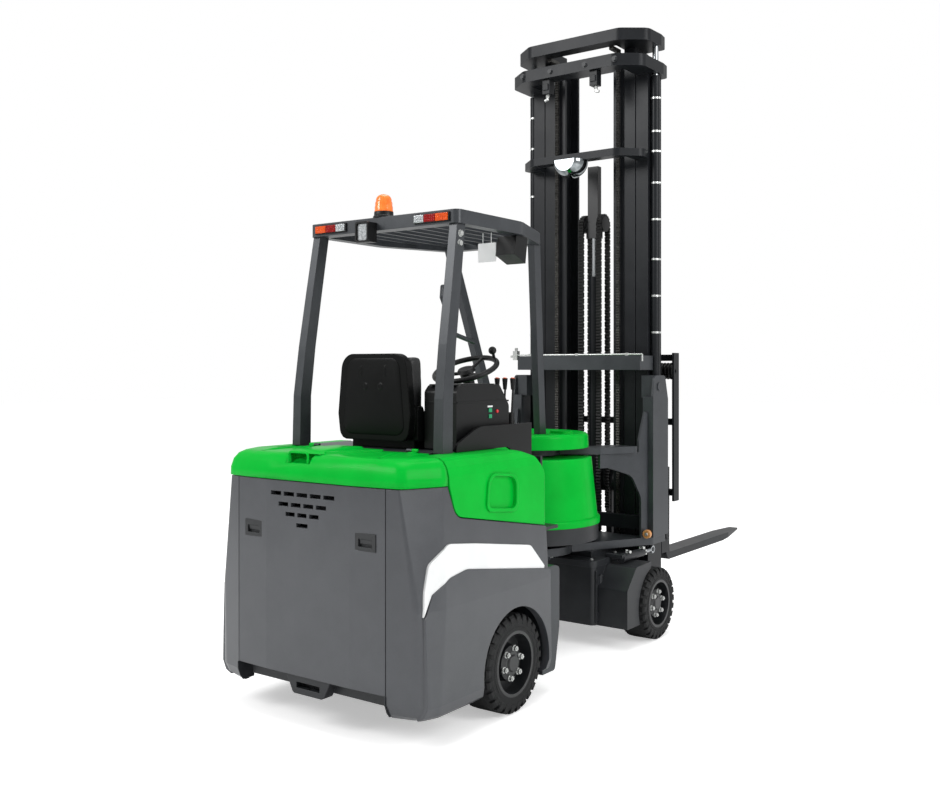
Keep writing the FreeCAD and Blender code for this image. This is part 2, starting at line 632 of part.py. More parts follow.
def make_swing_arm():
    z1 = ARM_Z + ARM_THICK
    half = [(0, PIVOT_Y + 60), (150, PIVOT_Y + 60), (345, PIVOT_Y + 200), (452, 1500), (452, 1520), (0, 1520)]
    flange = floor_plate(doubled(half), ARM_Z, z1)
    boss = Part.makeCylinder(170, ARM_THICK, Vector(0, PIVOT_Y, ARM_Z))
    window = floor_plate([(-260, 1500, 20), (-200, 1560), (200, 1560), (260, 1500, 20)], ARM_Z - 5, z1 + 5)
    # open middle of the arm, between the boss and the columns
    opening = floor_plate([(-290, 1600), (-250, 1380, 50), (250, 1380, 50), (290, 1600)], ARM_Z - 5, z1 + 5)
    arm = joined([flange, boss]).cut(opening).cut(king_bore(1000, 1200))
    # the side plate stands on a line from the round nose to the column, with an arched opening
    start = Vector(338, PIVOT_Y + 205, 0)
    end = Vector(462, COLUMN_REAR_Y - 5.6, 0)
    run = end - start
    length = run.Length
    profile = [(0, 0, 1064), (0, 0, 985), (60, 0, 985), (length * 0.66, 0, 930, 90), (length - 52, 0, 800, 120),
               (length - 52, 0, PLATE_Z + PLATE_THICK), (length, 0, PLATE_Z + PLATE_THICK), (length, 0, 1290),
               (length - 22, 0, 1300), (length - 70, 0, 1130, 20), (length - 72, 0, 1064)]
    face = Part.Face(outline(profile))
    web = face.extrude(Vector(0, 16, 0))
    web.rotate(Vector(0, 0, 0), Vector(0, 0, 1), math.degrees(math.atan2(run.y, run.x)))
    web.translate(start)
    webs = both(web)
    save("swing_arm", [joined([arm] + webs)])


def make_columns():
    inside = COLUMN_OUT - COLUMN_WALL
    foot_z = PLATE_Z + PLATE_THICK
    web = side_plate([(COLUMN_REAR_Y, foot_z), (COLUMN_FRONT_Y, foot_z), (COLUMN_FRONT_Y, 1370, 20),
                      (1800, COLUMN_TOP_Z, 30), (1660, COLUMN_TOP_Z, 30), (COLUMN_REAR_Y, 1390, 20)],
                     inside, COLUMN_OUT)
    flange = box(428, COLUMN_OUT, COLUMN_REAR_Y, COLUMN_REAR_Y + COLUMN_WALL, foot_z, 1385)
    foot = box(424, COLUMN_OUT, COLUMN_REAR_Y, COLUMN_FRONT_Y, foot_z, foot_z + 16)
    column = joined([web, flange, foot])
    bore = rod(Vector(400, *TILT_PIN), Vector(520, *TILT_PIN), 25.5)
    save("columns", both(column.cut(bore)))


def axle_box():
    lid_z = BOX_TOP_Z - 33
    body = floor_plate(doubled([(0, BOX_REAR_Y + 12), (BOX_HALF - 8, BOX_REAR_Y + 12, 30),
                                (BOX_HALF - 8, BOX_FRONT_Y, 10), (0, BOX_FRONT_Y)]), BOX_BOTTOM_Z, lid_z)
    lid = floor_plate(doubled([(0, BOX_REAR_Y), (BOX_HALF, BOX_REAR_Y, 40), (BOX_HALF, BOX_FRONT_Y, 10),
                               (0, BOX_FRONT_Y)]), lid_z, BOX_TOP_Z)
    tie = box(-300, 300, 1250, 1560, BOX_TOP_Z, PLATE_Z)
    whole = joined([body, lid, tie])
    return whole


def make_axle_box():
    # box, axle, spindles and fenders are one welded piece
    z = FRONT_TYRE_R
    beam = rod(Vector(-BOX_HALF - 12, WHEELBASE, z), Vector(BOX_HALF + 12, WHEELBASE, z), 72)
    spindle = rod(Vector(380, WHEELBASE, z), Vector(FRONT_TYRE_OUT - 60, WHEELBASE, z), SPINDLE_R)
    save("axle_box", [joined([axle_box(), beam] + both(spindle) + both(front_fender()))])


def front_fender():
    shape = side_plate([(1190, 120), (1190, 330, 15), (1300, 446, 30), (1480, 452), (1480, 120)], 370, 560)
    hollow = side_plate([(1205, 100), (1205, 320, 15), (1306, 428, 30), (1500, 434), (1500, 100)], 388, 548)
    shape = shape.cut(hollow)
    wheel_room = arch_cut(WHEELBASE, FRONT_TYRE_R, FRONT_TYRE_R + 18, 370, 600)
    return shape.cut(wheel_room)


TILT_EYE = Vector(445, TILT_PIN[0], 478)
TILT_FOOT = Vector(445, 1345, 478)


def make_tilt_cylinders():
    ear = box(355, 462, 1318, 1352, BOX_TOP_Z + SEAT_GAP, 500)
    barrel = tube(TILT_FOOT, Vector(445, 1610, 478), 24, 13 + RUN_GAP)
    head = rod(TILT_FOOT - Vector(0, 10, 0), TILT_FOOT, 24)
    ear = ear.cut(rod(TILT_FOOT, Vector(445, 1610, 478), 13 + RUN_GAP))
    save("tilt_barrels", both(joined([ear, barrel, head])))
    rod_solid = rod(Vector(445, 1440, 478), TILT_EYE - Vector(0, 18, 0), 13)
    eye = tube(TILT_EYE - Vector(12, 0, 0), TILT_EYE + Vector(12, 0, 0), 23, 13)
    eye = joined([rod_solid.cut(rod(TILT_EYE - Vector(12, 0, 0), TILT_EYE + Vector(12, 0, 0), 14)), eye])
    save("tilt_rods", both(eye))


# Mast

def rail(outside, width, foot_z, top_z):
    # a channel with its open side towards the middle
    inside = outside - width
    front_y = RAIL_REAR_Y + RAIL_DEPTH
    points = [(inside, RAIL_REAR_Y), (outside, RAIL_REAR_Y), (outside, front_y), (inside, front_y),
              (inside, front_y - RAIL_FLANGE), (outside - RAIL_WEB, front_y - RAIL_FLANGE),
              (outside - RAIL_WEB, RAIL_REAR_Y + RAIL_FLANGE), (inside, RAIL_REAR_Y + RAIL_FLANGE)]
    return floor_plate(points, foot_z, top_z)


def tie_plate(half_rear, rear_y, bar_depth, leg_in, leg_out, leg_y, z0, deep):
    # a horseshoe seen from above: a bar behind the rails with two legs that reach forward
    half = [(0, rear_y), (half_rear, rear_y, 60), (leg_out - 8, rear_y + 105, 60), (leg_out, leg_y - 90, 40),
            (leg_out - 14, leg_y, 30), (leg_in, leg_y), (leg_in, rear_y + bar_depth), (0, rear_y + bar_depth)]
    return floor_plate(doubled(half), z0, z0 + deep)


OUTER_TOP_Z = TIE_TOP_Z - TIE_DEEP - TIE_STEP
MIDDLE_OUT = OUTER_OUT - OUTER_W - RAIL_GAP
INNER_OUT = MIDDLE_OUT - MIDDLE_W - RAIL_GAP
TIE_REAR_Y = 1489
MIDDLE_TOP_Z = TIE_TOP_Z - TIE_DEEP


def roller(x0, x1, y, z):
    return rod(Vector(x0, y, z), Vector(x1, y, z), RAIL_DEPTH / 2 - RAIL_FLANGE - RUN_GAP)


def make_outer_mast():
    pieces = both(rail(OUTER_OUT, OUTER_W, RAIL_FOOT_Z, OUTER_TOP_Z - TIE_DEEP + 1))
    top = tie_plate(317, TIE_REAR_Y, 110, OUTER_OUT - OUTER_W + 1, 464, 1935, OUTER_TOP_Z - TIE_DEEP, TIE_DEEP)
    rods = [rod(Vector(s * LIFT_X, LIFT_Y, 3200), Vector(s * LIFT_X, LIFT_Y, 3500), LIFT_ROD_R + 5)
            for s in (-1, 1)]
    pieces.append(top.cut(Part.makeCompound(rods)))
    low = tie_plate(298, TIE_REAR_Y + 61, 75, OUTER_OUT - OUTER_W + 1, 420, 1771, LOW_TIE_Z, LOW_TIE_DEEP)
    barrels = [rod(Vector(s * LIFT_X, LIFT_Y, 2700), Vector(s * LIFT_X, LIFT_Y, 2900), LIFT_BARREL_R + 2)
               for s in (-1, 1)]
    pieces.append(low.cut(Part.makeCompound(barrels)))
    foot_tie = box(-OUTER_OUT, OUTER_OUT, 1640, 1680, 600, 680)
    leg = box(OUTER_OUT - 60, OUTER_OUT, 1680, RAIL_REAR_Y + 1, 600, 680)
    pieces.append(joined([foot_tie] + both(leg)))
    # each lift cylinder stands on a bracket on the rail
    pieces += both(box(OUTER_OUT - 5, LIFT_X + 26, LIFT_Y - 26, LIFT_Y + 26, LIFT_FOOT_Z - 12, LIFT_FOOT_Z - SEAT_GAP))
    save("outer_mast", [joined(pieces)])


def tilt_lugs():
    lug = side_plate([(1696, 456, 15), (1775, 440, 10), (1775, 506, 10), (1696, 500, 15)], OUTER_OUT, 430)
    pin = rod(Vector(425, TILT_EYE.y, TILT_EYE.z), Vector(460, TILT_EYE.y, TILT_EYE.z), 11)
    return both(joined([lug, pin]))


def make_crossbar():
    z0 = 1544
    bar = box(-430, 430, 1600, 1660, z0, z0 + 86)
    arm = box(OUTER_OUT, 430, 1600, LIFT_Y - LIFT_BARREL_R - 5, z0, z0 + 86)
    gusset = floor_plate([(332, 1659), (OUTER_OUT, 1659), (OUTER_OUT, RAIL_REAR_Y), (372, RAIL_REAR_Y)], z0, z0 + 30)
    pieces = [bar] + both(arm) + both(gusset)
    save("crossbar", [joined(pieces)] + head_blocks() + tilt_lugs())


def head_blocks():
    block = box(OUTER_OUT, 478, 1668, LIFT_Y - LIFT_BARREL_R - 5, 1380, 1512)
    pin = rod(Vector(474, *TILT_PIN), Vector(COLUMN_OUT + 6, *TILT_PIN), 25)
    block = joined([block, pin])
    return both(block)


def make_lift_cylinders():
    foot = Vector(LIFT_X, LIFT_Y, LIFT_FOOT_Z)
    top = Vector(LIFT_X, LIFT_Y, OUTER_TOP_Z - TIE_DEEP - 14)
    barrel = rod(foot, top, LIFT_BARREL_R)
    hollow = rod(foot + Vector(0, 0, 14), top, LIFT_ROD_R + 3)
    gland = tube(top - Vector(0, 0, 50), top, LIFT_BARREL_R + 0.5, LIFT_ROD_R + 0.5)
    save("lift_barrels", both(joined([barrel.cut(hollow), gland])))
    rod_foot = foot + Vector(0, 0, 34)
    rod_top = Vector(LIFT_X, LIFT_Y, MIDDLE_TOP_Z)
    save("lift_rods", both(rod(rod_foot, rod_top, LIFT_ROD_R)))


def make_middle_mast():
    pieces = both(rail(MIDDLE_OUT, MIDDLE_W, RAIL_FOOT_Z, MIDDLE_TOP_Z + 1))
    pieces.append(tie_plate(315, TIE_REAR_Y + 65, 95, MIDDLE_OUT - MIDDLE_W + 1, 464, 1905, MIDDLE_TOP_Z, TIE_DEEP))
    tie = box(-MIDDLE_OUT, MIDDLE_OUT, 1692, 1712, 210, 320)
    leg = box(MIDDLE_OUT - 40, MIDDLE_OUT, 1710, RAIL_REAR_Y + 1, 210, 320)
    pieces.append(joined([tie] + both(leg)))
    middle_y = RAIL_REAR_Y + RAIL_DEPTH / 2
    pieces += both(roller(MIDDLE_OUT - 2, MIDDLE_OUT + RAIL_GAP + 50, middle_y, RAIL_FOOT_Z + 90))
    save("middle_mast", [joined(pieces)])


def make_inner_mast():
    top_z = MIDDLE_TOP_Z - 45
    pieces = both(rail(INNER_OUT, INNER_W, RAIL_FOOT_Z, top_z))
    pieces.append(box(-INNER_OUT, INNER_OUT, RAIL_REAR_Y, RAIL_REAR_Y + 60, top_z - 60, top_z))
    # foot: a strip behind the rails and a block in the middle that carries the free lift cylinder
    pieces.append(box(-INNER_OUT + 4, INNER_OUT - 4, RAIL_REAR_Y - 14, RAIL_REAR_Y + 2, RAIL_FOOT_Z, RAIL_FOOT_Z + 40))
    pieces.append(box(-118, 118, RAIL_REAR_Y - 14, RAIL_REAR_Y + 120, RAIL_FOOT_Z, RAIL_FOOT_Z + 40))
    middle_y = RAIL_REAR_Y + RAIL_DEPTH / 2
    pieces += both(roller(INNER_OUT - 2, INNER_OUT + RAIL_GAP + 44, middle_y, RAIL_FOOT_Z + 250))
    foot = Vector(0, FREE_Y, RAIL_FOOT_Z + 39)
    top = Vector(0, FREE_Y, FREE_TOP_Z)
    barrel = rod(foot, top, FREE_BARREL_R).cut(rod(foot + Vector(0, 0, 20), top, FREE_ROD_R + 0.5))
    save("inner_mast", [joined(pieces + [barrel])])


def make_free_lift():
    yoke_z = 2370
    piston = rod(Vector(0, FREE_Y, 900), Vector(0, FREE_Y, yoke_z), FREE_ROD_R)
    yoke = box(-44, 44, FREE_Y - 26, FREE_Y + 26, yoke_z, yoke_z + 100)
    guide = box(-36, 36, FREE_Y - 22, FREE_Y + 22, yoke_z + 100, 2820)
    wheels = []
    for side in (-1, 1):
        wheels.append(rod(Vector(side * 44, FREE_Y, 2455), Vector(side * 80, FREE_Y, 2455), 48))
    save("crosshead", [joined([piston, yoke, guide] + wheels)])
    chains = []
    for side in (-1, 1):
        x0 = side * FREE_CHAIN_X - 11
        loop = side_plate([(FREE_Y - 62, 420), (FREE_Y - 50, 420), (FREE_Y - 50, 2455), (FREE_Y + 50, 2455),
                           (FREE_Y + 50, 640), (FREE_Y + 62, 640), (FREE_Y + 62, 2500, 20), (FREE_Y + 40, 2518, 15),
                           (FREE_Y - 40, 2518, 15), (FREE_Y - 62, 2500, 20)], x0, x0 + 22)
        sheave = rod(Vector(x0 - 1, FREE_Y, 2455), Vector(x0 + 23, FREE_Y, 2455), 49)
        chains.append(loop.cut(sheave))
    save("free_lift_chains", chains)


def make_lift_chains():
    strand = box(CHAIN_X - CHAIN_W / 2, CHAIN_X + CHAIN_W / 2, 1722, 1738, 340, MIDDLE_TOP_Z - 8)
    anchor = rod(Vector(CHAIN_X, 1730, MIDDLE_TOP_Z - 8), Vector(CHAIN_X, 1730, MIDDLE_TOP_Z), 9)
    hook = box(CHAIN_X - 14, CHAIN_X + 14, 1640, 1740, MIDDLE_TOP_Z - 30, MIDDLE_TOP_Z)
    save("lift_chains", both(joined([strand, hook])))


# Carriage and forks

def make_carriage():
    plate = side_plate([(1870, 400), (1960, 400), (CARRIAGE_REAR_Y, 380), (CARRIAGE_REAR_Y, 898), (1870, 898)], 132, 150)
    pieces = both(plate)
    middle_y = RAIL_REAR_Y + RAIL_DEPTH / 2 + 20
    for z in (470, 850):
        wheel = rod(Vector(148, 1845, z), Vector(INNER_OUT - RAIL_WEB - 6, 1845, z), RAIL_DEPTH / 2 - RAIL_FLANGE - RUN_GAP)
        pieces += both(wheel)
    for z in (402, 812):
        pieces.append(box(-CARRIAGE_HALF, CARRIAGE_HALF, 1950, CARRIAGE_REAR_Y, z, z + 90))
    save("carriage", [joined(pieces)])


def make_shift_frame():
    rear = CARRIAGE_REAR_Y + 6
    pieces = []
    for z in (400, 820):
        pieces.append(box(-CARRIAGE_HALF, CARRIAGE_HALF, rear + 36, CARRIAGE_FACE_Y, z, z + 80))
    for x in (-360, -20, 320):
        pieces.append(box(x, x + 40, rear + 36, CARRIAGE_FACE_Y - 30, 410, 890))
    # hooks that hang the frame on the carriage's upper bar
    pieces.append(box(-200, 200, rear - 30, rear + 60, 902 + RUN_GAP, 922))
    pieces.append(box(-200, 200, rear + 36, rear + 60, 890, 922))
    post = box(BACKREST_HALF - 14, BACKREST_HALF, 2018, 2090, BACKREST_LOW_Z, BACKREST_TOP_Z)
    rest = both(post)
    for z in (BACKREST_LOW_Z + 30, 1200, BACKREST_TOP_Z - 50):
        rest.append(box(-BACKREST_HALF, BACKREST_HALF, 2050, 2084, z, z + 40))
    for x in (-300, -100, 100, 300):
        rest.append(box(x - 8, x + 8, 2056, 2082, BACKREST_LOW_Z + 40, BACKREST_TOP_Z - 20))
    rest.append(box(-330, -280, 2050, 2084, 900, 1210))
    rest.append(box(280, 330, 2050, 2084, 900, 1210))
    save("shift_frame", [joined(pieces + rest)])


def make_forks():
    rear = CARRIAGE_FACE_Y + RUN_GAP
    bottom = FORK_TOP_Z - FORK_THICK
    shank_top = 930
    profile = [(rear, bottom + 40, 30), (rear + 30, bottom, 20), (FORK_TIP_Y - 350, bottom), (FORK_TIP_Y, FORK_TOP_Z - 14),
               (FORK_TIP_Y, FORK_TOP_Z - 2), (FORK_TIP_Y - 20, FORK_TOP_Z), (rear + FORK_THICK, FORK_TOP_Z, 12),
               (rear + FORK_THICK, shank_top), (rear, shank_top)]
    fork = side_plate(profile, FORK_X - FORK_W / 2, FORK_X + FORK_W / 2)
    # hook over the frame's upper bar
    hook = side_plate([(rear - 18, 900 + RUN_GAP), (rear, 900 + RUN_GAP), (rear, shank_top), (rear - 18, shank_top)],
                      FORK_X - FORK_W / 2 + 10, FORK_X + FORK_W / 2 - 10)
    fork = joined([fork, hook])
    taper = floor_plate([(FORK_X - FORK_W / 2 - 1, FORK_TIP_Y - 260), (FORK_X - 28, FORK_TIP_Y + 1),
                         (FORK_X - FORK_W / 2 - 1, FORK_TIP_Y + 1)], 200, 500)
    other = taper.mirror(Vector(FORK_X, 0, 0), Vector(1, 0, 0))
    fork = fork.cut(taper).cut(other)
    save("fork_right", [fork])
    save("fork_left", [mirrored(fork)])


def make_mirror():
    centre = Vector(-10, TIE_REAR_Y + 61, LOW_TIE_Z - 1)
    ball = Part.makeSphere(105, centre)
    keep = box(-130, 110, 1470, TIE_REAR_Y + 130, LOW_TIE_Z - 110, LOW_TIE_Z - 0.3)
    dome = ball.common(keep)
    save("dome_mirror", [dome])


os.makedirs("parts", exist_ok=True)
skin = body_form(0).cut(body_form(SKIN))
make_fenders(skin)
make_flashes()
make_side_panels()
make_rear_cover(skin)
make_hood()
make_rear_frame()
make_battery()
make_rear_axle()
make_nose_base()
make_nose()
make_steps()
make_deck()
make_seat()
make_console()
make_steering()
make_guard()
make_lamps()
for name, side in (("left", -1), ("right", 1)):
    make_wheel(f"rear_{name}", side, 0, REAR_TYRE_R, REAR_TYRE_W, REAR_TYRE_OUT)
    make_wheel(f"front_{name}", side, WHEELBASE, FRONT_TYRE_R, FRONT_TYRE_W, FRONT_TYRE_OUT)
make_turn_plate()
make_swing_arm()
make_columns()
make_axle_box()
make_tilt_cylinders()
make_outer_mast()
make_crossbar()
make_lift_cylinders()
make_middle_mast()
make_inner_mast()
make_free_lift()
make_lift_chains()
make_carriage()
make_shift_frame()
make_forks()
make_mirror()
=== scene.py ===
import math
import bmesh
import bpy
from mathutils import Matrix, Vector


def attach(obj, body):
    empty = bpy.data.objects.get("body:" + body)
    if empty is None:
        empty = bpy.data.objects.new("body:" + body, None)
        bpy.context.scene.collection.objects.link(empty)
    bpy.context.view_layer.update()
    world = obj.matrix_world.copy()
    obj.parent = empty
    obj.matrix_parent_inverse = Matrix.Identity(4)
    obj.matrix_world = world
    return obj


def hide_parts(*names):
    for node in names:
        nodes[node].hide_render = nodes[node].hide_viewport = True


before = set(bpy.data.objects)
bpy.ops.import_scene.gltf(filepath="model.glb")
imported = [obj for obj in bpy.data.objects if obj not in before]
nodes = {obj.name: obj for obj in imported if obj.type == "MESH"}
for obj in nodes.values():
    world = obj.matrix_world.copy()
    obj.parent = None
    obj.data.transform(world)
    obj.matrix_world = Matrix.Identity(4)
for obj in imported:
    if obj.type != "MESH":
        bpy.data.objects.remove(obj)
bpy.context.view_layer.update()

# Rear frame, nose base, axles and axle box: welded steel plate, sprayed in a dark satin grey before
# assembly. The battery is a steel case that stands on the tray between the side plates.
BEVEL_SAMPLES = 4
WEAR_WIDTH_MM = 4
BUMP_DEPTH_MM = 0.6
FLAKES_PER_METRE = 1400.0
FLAKE_COLOUR = "#A8ACB0"


def linear(text, alpha=1.0):
    # an sRGB hex colour as the linear values that the shader needs
    out = []
    for i in (1, 3, 5):
        c = int(text[i:i + 2], 16) / 255
        out.append(c / 12.92 if c <= 0.04045 else ((c + 0.055) / 1.055) ** 2.4)
    return (*out, alpha)


def add(tree, kind, settings=None, inputs=None, links=None):
    # one shader node with its settings, its input values and the sockets that feed it
    node = tree.nodes.new(kind)
    for key, value in (settings or {}).items():
        setattr(node, key, value)
    for key, value in (inputs or {}).items():
        node.inputs[key].default_value = value
    for key, source in (links or {}).items():
        tree.links.new(source, node.inputs[key])
    return node


def mix_colours(tree, share, colour, other):
    # a colour socket blended with a fixed colour; a colour mix has its sockets at 0, 6 and 7
    mix = add(tree, "ShaderNodeMix", {"data_type": "RGBA"}, {7: linear(other)}, {0: share, 6: colour})
    return mix.outputs[2]


def worn_edges(tree, colour, edge):
    # worn or dusty edges, where the bevel turns the normal away from the face
    rounded = add(tree, "ShaderNodeBevel", {"samples": BEVEL_SAMPLES}, {"Radius": WEAR_WIDTH_MM / 1000})
    flat = add(tree, "ShaderNodeNewGeometry").outputs["Normal"]
    dot = add(tree, "ShaderNodeVectorMath", {"operation": "DOT_PRODUCT"}, None,
              {0: rounded.outputs["Normal"], 1: flat})
    wear = add(tree, "ShaderNodeMapRange", None,
               {"From Min": 0.985, "From Max": 0.8, "To Min": 0.0, "To Max": 0.75},
               {"Value": dot.outputs["Value"]})
    return mix_colours(tree, wear.outputs["Result"], colour, edge)


def metal_flakes(tree, place, colour, share):
    # aluminium flakes in the paint, drawn about 0.7 mm wide so that they show
    cells = add(tree, "ShaderNodeTexVoronoi", None, {"Scale": FLAKES_PER_METRE}, {"Vector": place})
    spark = add(tree, "ShaderNodeMapRange", None,
                {"From Min": 0.0, "From Max": 0.6, "To Min": share, "To Max": 0.0},
                {"Value": cells.outputs["Distance"]})
    return mix_colours(tree, spark.outputs["Result"], colour, FLAKE_COLOUR)


def surface(name, colour, rough, metal=0.0, dark=None, patch_mm=160, grain_mm=1.2, grain=0.08, coat=0.0,
            bevel_mm=2.0, edge=None, rough_swing=0.08, flake=0.0, specular=0.5, emit=0.0):
    # paint, plastic or metal: soft patches of tone, fine grain in the bump, edges rounded by the bevel
    mat = bpy.data.materials.new(name)
    mat.use_nodes = True
    tree = mat.node_tree
    tree.nodes.clear()
    out = add(tree, "ShaderNodeOutputMaterial")
    place = add(tree, "ShaderNodeTexCoord").outputs["Object"]
    patches = add(tree, "ShaderNodeTexNoise", None,
                  {"Scale": 1000 / patch_mm, "Detail": 5.0, "Roughness": 0.6}, {"Vector": place})
    fine = add(tree, "ShaderNodeTexNoise", None, {"Scale": 1000 / grain_mm, "Detail": 2.0},
               {"Vector": place})
    tone = add(tree, "ShaderNodeValToRGB", None, None, {"Fac": patches.outputs["Fac"]})
    darker, lighter = tone.color_ramp.elements
    darker.position = 0.35
    darker.color = linear(dark or colour)
    lighter.position = 0.65
    lighter.color = linear(colour)
    tinted = tone.outputs["Color"]
    if edge:
        tinted = worn_edges(tree, tinted, edge)
    if flake:
        tinted = metal_flakes(tree, place, tinted, flake)
    swing = add(tree, "ShaderNodeMapRange", None,
                {"To Min": max(0.02, rough - rough_swing), "To Max": rough + rough_swing},
                {"Value": patches.outputs["Fac"]})
    rounded = add(tree, "ShaderNodeBevel", {"samples": BEVEL_SAMPLES}, {"Radius": bevel_mm / 1000})
    bump = add(tree, "ShaderNodeBump", None, {"Strength": grain, "Distance": BUMP_DEPTH_MM / 1000},
               {"Height": fine.outputs["Fac"], "Normal": rounded.outputs["Normal"]})
    shader = add(tree, "ShaderNodeBsdfPrincipled", None,
                 {"Metallic": metal, "Coat Weight": coat, "Coat Roughness": 0.06,
                  "Specular IOR Level": specular, "Emission Strength": emit,
                  "Emission Color": linear(colour)},
                 {"Base Color": tinted, "Roughness": swing.outputs["Result"],
                  "Normal": bump.outputs["Normal"]})
    tree.links.new(shader.outputs["BSDF"], out.inputs["Surface"])
    return mat


def dress(names, mat):
    for name in names.split():
        obj = nodes[name]
        obj.data.materials.clear()
        obj.data.materials.append(mat)


# sprayed satin enamel: nearly black, with grey where the edges have lost their sheen
frame_paint = surface("frame_paint_satin", "#2A2C2F", 0.4, dark="#222427", grain=0.15, edge="#484A4D",
                      specular=0.36)
# bright zinc plating: pale, soft mirror light on bolts, bands and pipes
zinc = surface("zinc_plated_steel", "#DADCDA", 0.28, metal=0.75, dark="#C4C6C4", grain=0.1, bevel_mm=0.8)
dress("rear_frame nose_base rear_axle axle_box tilt_barrels battery", frame_paint)

# Outer skins: pressed sheet steel with a metallic grey coat, the upper panels in a bright gloss green.
# The swept flash over each wheel arch is white. The hood lid has a raised middle between two long low
# beads, and a bent bar to lift it by; a steel plate closes each fender's end under the hood's rear edge,
# painted near black as painted shade, since that tucked-under corner lies in shadow.
ORIGIN_Y = 1335
HOOD_TOP = 1182
SWELL_HEIGHT = 17
SWELL_LEFT = -150
SWELL_RIGHT = 44
SWELL_SECTION = [(SWELL_LEFT, 0), (SWELL_LEFT + 10, SWELL_HEIGHT - 4), (SWELL_LEFT + 18, SWELL_HEIGHT),
                 (SWELL_RIGHT - 18, SWELL_HEIGHT), (SWELL_RIGHT - 10, SWELL_HEIGHT - 4), (SWELL_RIGHT, 0)]
# where the raised middle runs, with its share of the full height there
SWELL_RUN = ((-664, 0.1), (-640, 0.8), (-600, 1.0), (-376, 1.0))
BEAD_REAR = -632
BEAD_LENGTH = 250
BEAD_HALF_WIDTH = 12
BEAD_HEIGHT = 7
BEAD_SINK = 0.5
BEAD_STEPS = 12
GRIP_LEFT = -119
GRIP_RIGHT = -3
GRIP_Y = -688
GRIP_FLOOR = 1140
GRIP_TOP = 1189
GRIP_BEND = 14
GRIP_BAR = 5.5
GRIP_FOOT = 8.5
# the plate that closes each fender's end, painted near black as painted shade
END_PLATE_X = 440
END_PLATE = [(-667, 130), (-683, 150), (-697, 185), (-698, 219), (-600, 219), (-600, 130)]


def at(x, y, z):
    # a point given in millimetres from the rear axle, as a place in the scene
    return Vector((x / 1000, y / 1000 - ORIGIN_Y / 1000, z / 1000))


def bridge(bm, rings, closed=True):
    # faces between each ring of vertices and the next one
    for a, b in zip(rings, rings[1:]):
        count = len(a)
        for i in range(count if closed else count - 1):
            j = (i + 1) % count
            bm.faces.new([a[i], a[j], b[j], b[i]])


def cap_ends(bm, rings):
    bm.faces.new(list(reversed(rings[0])))
    bm.faces.new(rings[-1])


def add_plate(bm, outline, thick, place, across, up):
    # an outline of points in its own plane (along across and up), given thickness to both sides
    normal = across.cross(up)
    front, back = [
        [bm.verts.new(place + across * (u / 1000) + up * (v / 1000) + normal * (shift / 2000))
         for u, v in outline]
        for shift in (thick, -thick)]
    bm.faces.new(front)
    bm.faces.new(list(reversed(back)))
    bridge(bm, [front, back])


def add_rod(bm, start, end, radius, sides=20, radius_end=None):
    # a rod or cone between two points in millimetres
    a, b = at(*start), at(*end)
    run = b - a
    matrix = Matrix.Translation((a + b) / 2) @ run.to_track_quat("Z", "Y").to_matrix().to_4x4()
    far = radius if radius_end is None else radius_end
    bmesh.ops.create_cone(bm, cap_ends=True, segments=sides, radius1=radius / 1000, radius2=far / 1000,
                          depth=run.length, matrix=matrix)


def bent_rod(bm, points, radius, sides=12):
    # a round bar along points in millimetres that lie in one upright plane across the truck
    out = Vector((0, 1, 0))
    rings = []
    for k, place in enumerate(points):
        run = (points[min(k + 1, len(points) - 1)] - points[max(k - 1, 0)]).normalized()
        side = run.cross(out)
        ring = []
        for i in range(sides):
            a = 2 * math.pi * i / sides
            ring.append(bm.verts.new(at(*(place + (out * math.cos(a) + side * math.sin(a)) * radius))))
        rings.append(ring)
    bridge(bm, rings)
    cap_ends(bm, rings)


def piece(name, bm, mat, body, bevel_mm=0.0, segments=2, smooth=38):
    # a finished mesh that rides on a body, smooth but for edges sharper than the given angle
    bmesh.ops.recalc_face_normals(bm, faces=bm.faces)
    mesh = bpy.data.meshes.new(name)
    bm.to_mesh(mesh)
    bm.free()
    mesh.polygons.foreach_set("use_smooth", [True] * len(mesh.polygons))
    mesh.set_sharp_from_angle(angle=math.radians(smooth))
    mesh.materials.append(mat)
    obj = bpy.data.objects.new(name, mesh)
    bpy.context.scene.collection.objects.link(obj)
    if bevel_mm:
        mod = obj.modifiers.new("rounded edges", "BEVEL")
        mod.width = bevel_mm / 1000
        mod.segments = segments
        mod.limit_method = "ANGLE"
        mod.angle_limit = math.radians(35)
        mod.harden_normals = True
    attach(obj, body)
    return obj


# metallic stoving enamel: a mid grey with fine bright flakes under a thin clear coat
grey_paint = surface("grey_metallic_paint_gloss", "#44464A", 0.34, metal=0.2, dark="#3E4044", coat=0.28,
                     flake=0.12, grain=0.05, bevel_mm=5)
# gloss enamel: a full, even green whose rounded folds catch soft light
green_paint = surface("green_paint_gloss", "#00B434", 0.3, dark="#00AB30", coat=0.02, grain=0.03,
                      bevel_mm=7, rough_swing=0.04, specular=0.07)
# gloss enamel: clean white
white_paint = surface("white_paint_gloss", "#EDEEEE", 0.34, dark="#E6E8E8", coat=0.3, grain=0.03,
                      bevel_mm=4)
dress("fenders rear_cover", grey_paint)
dress("hood side_panels nose_cover nose_cap", green_paint)
dress("fender_flashes", white_paint)

# the pressed hood has no facets: its shading runs smoothly over the folds
hood = nodes["hood"]
hood.data.polygons.foreach_set("use_smooth", [True] * len(hood.data.polygons))
weld = hood.modifiers.new("weld", "WELD")
weld.merge_threshold = 0.0002
even = hood.modifiers.new("even normals", "WEIGHTED_NORMAL")
even.weight = 60
even.keep_sharp = False

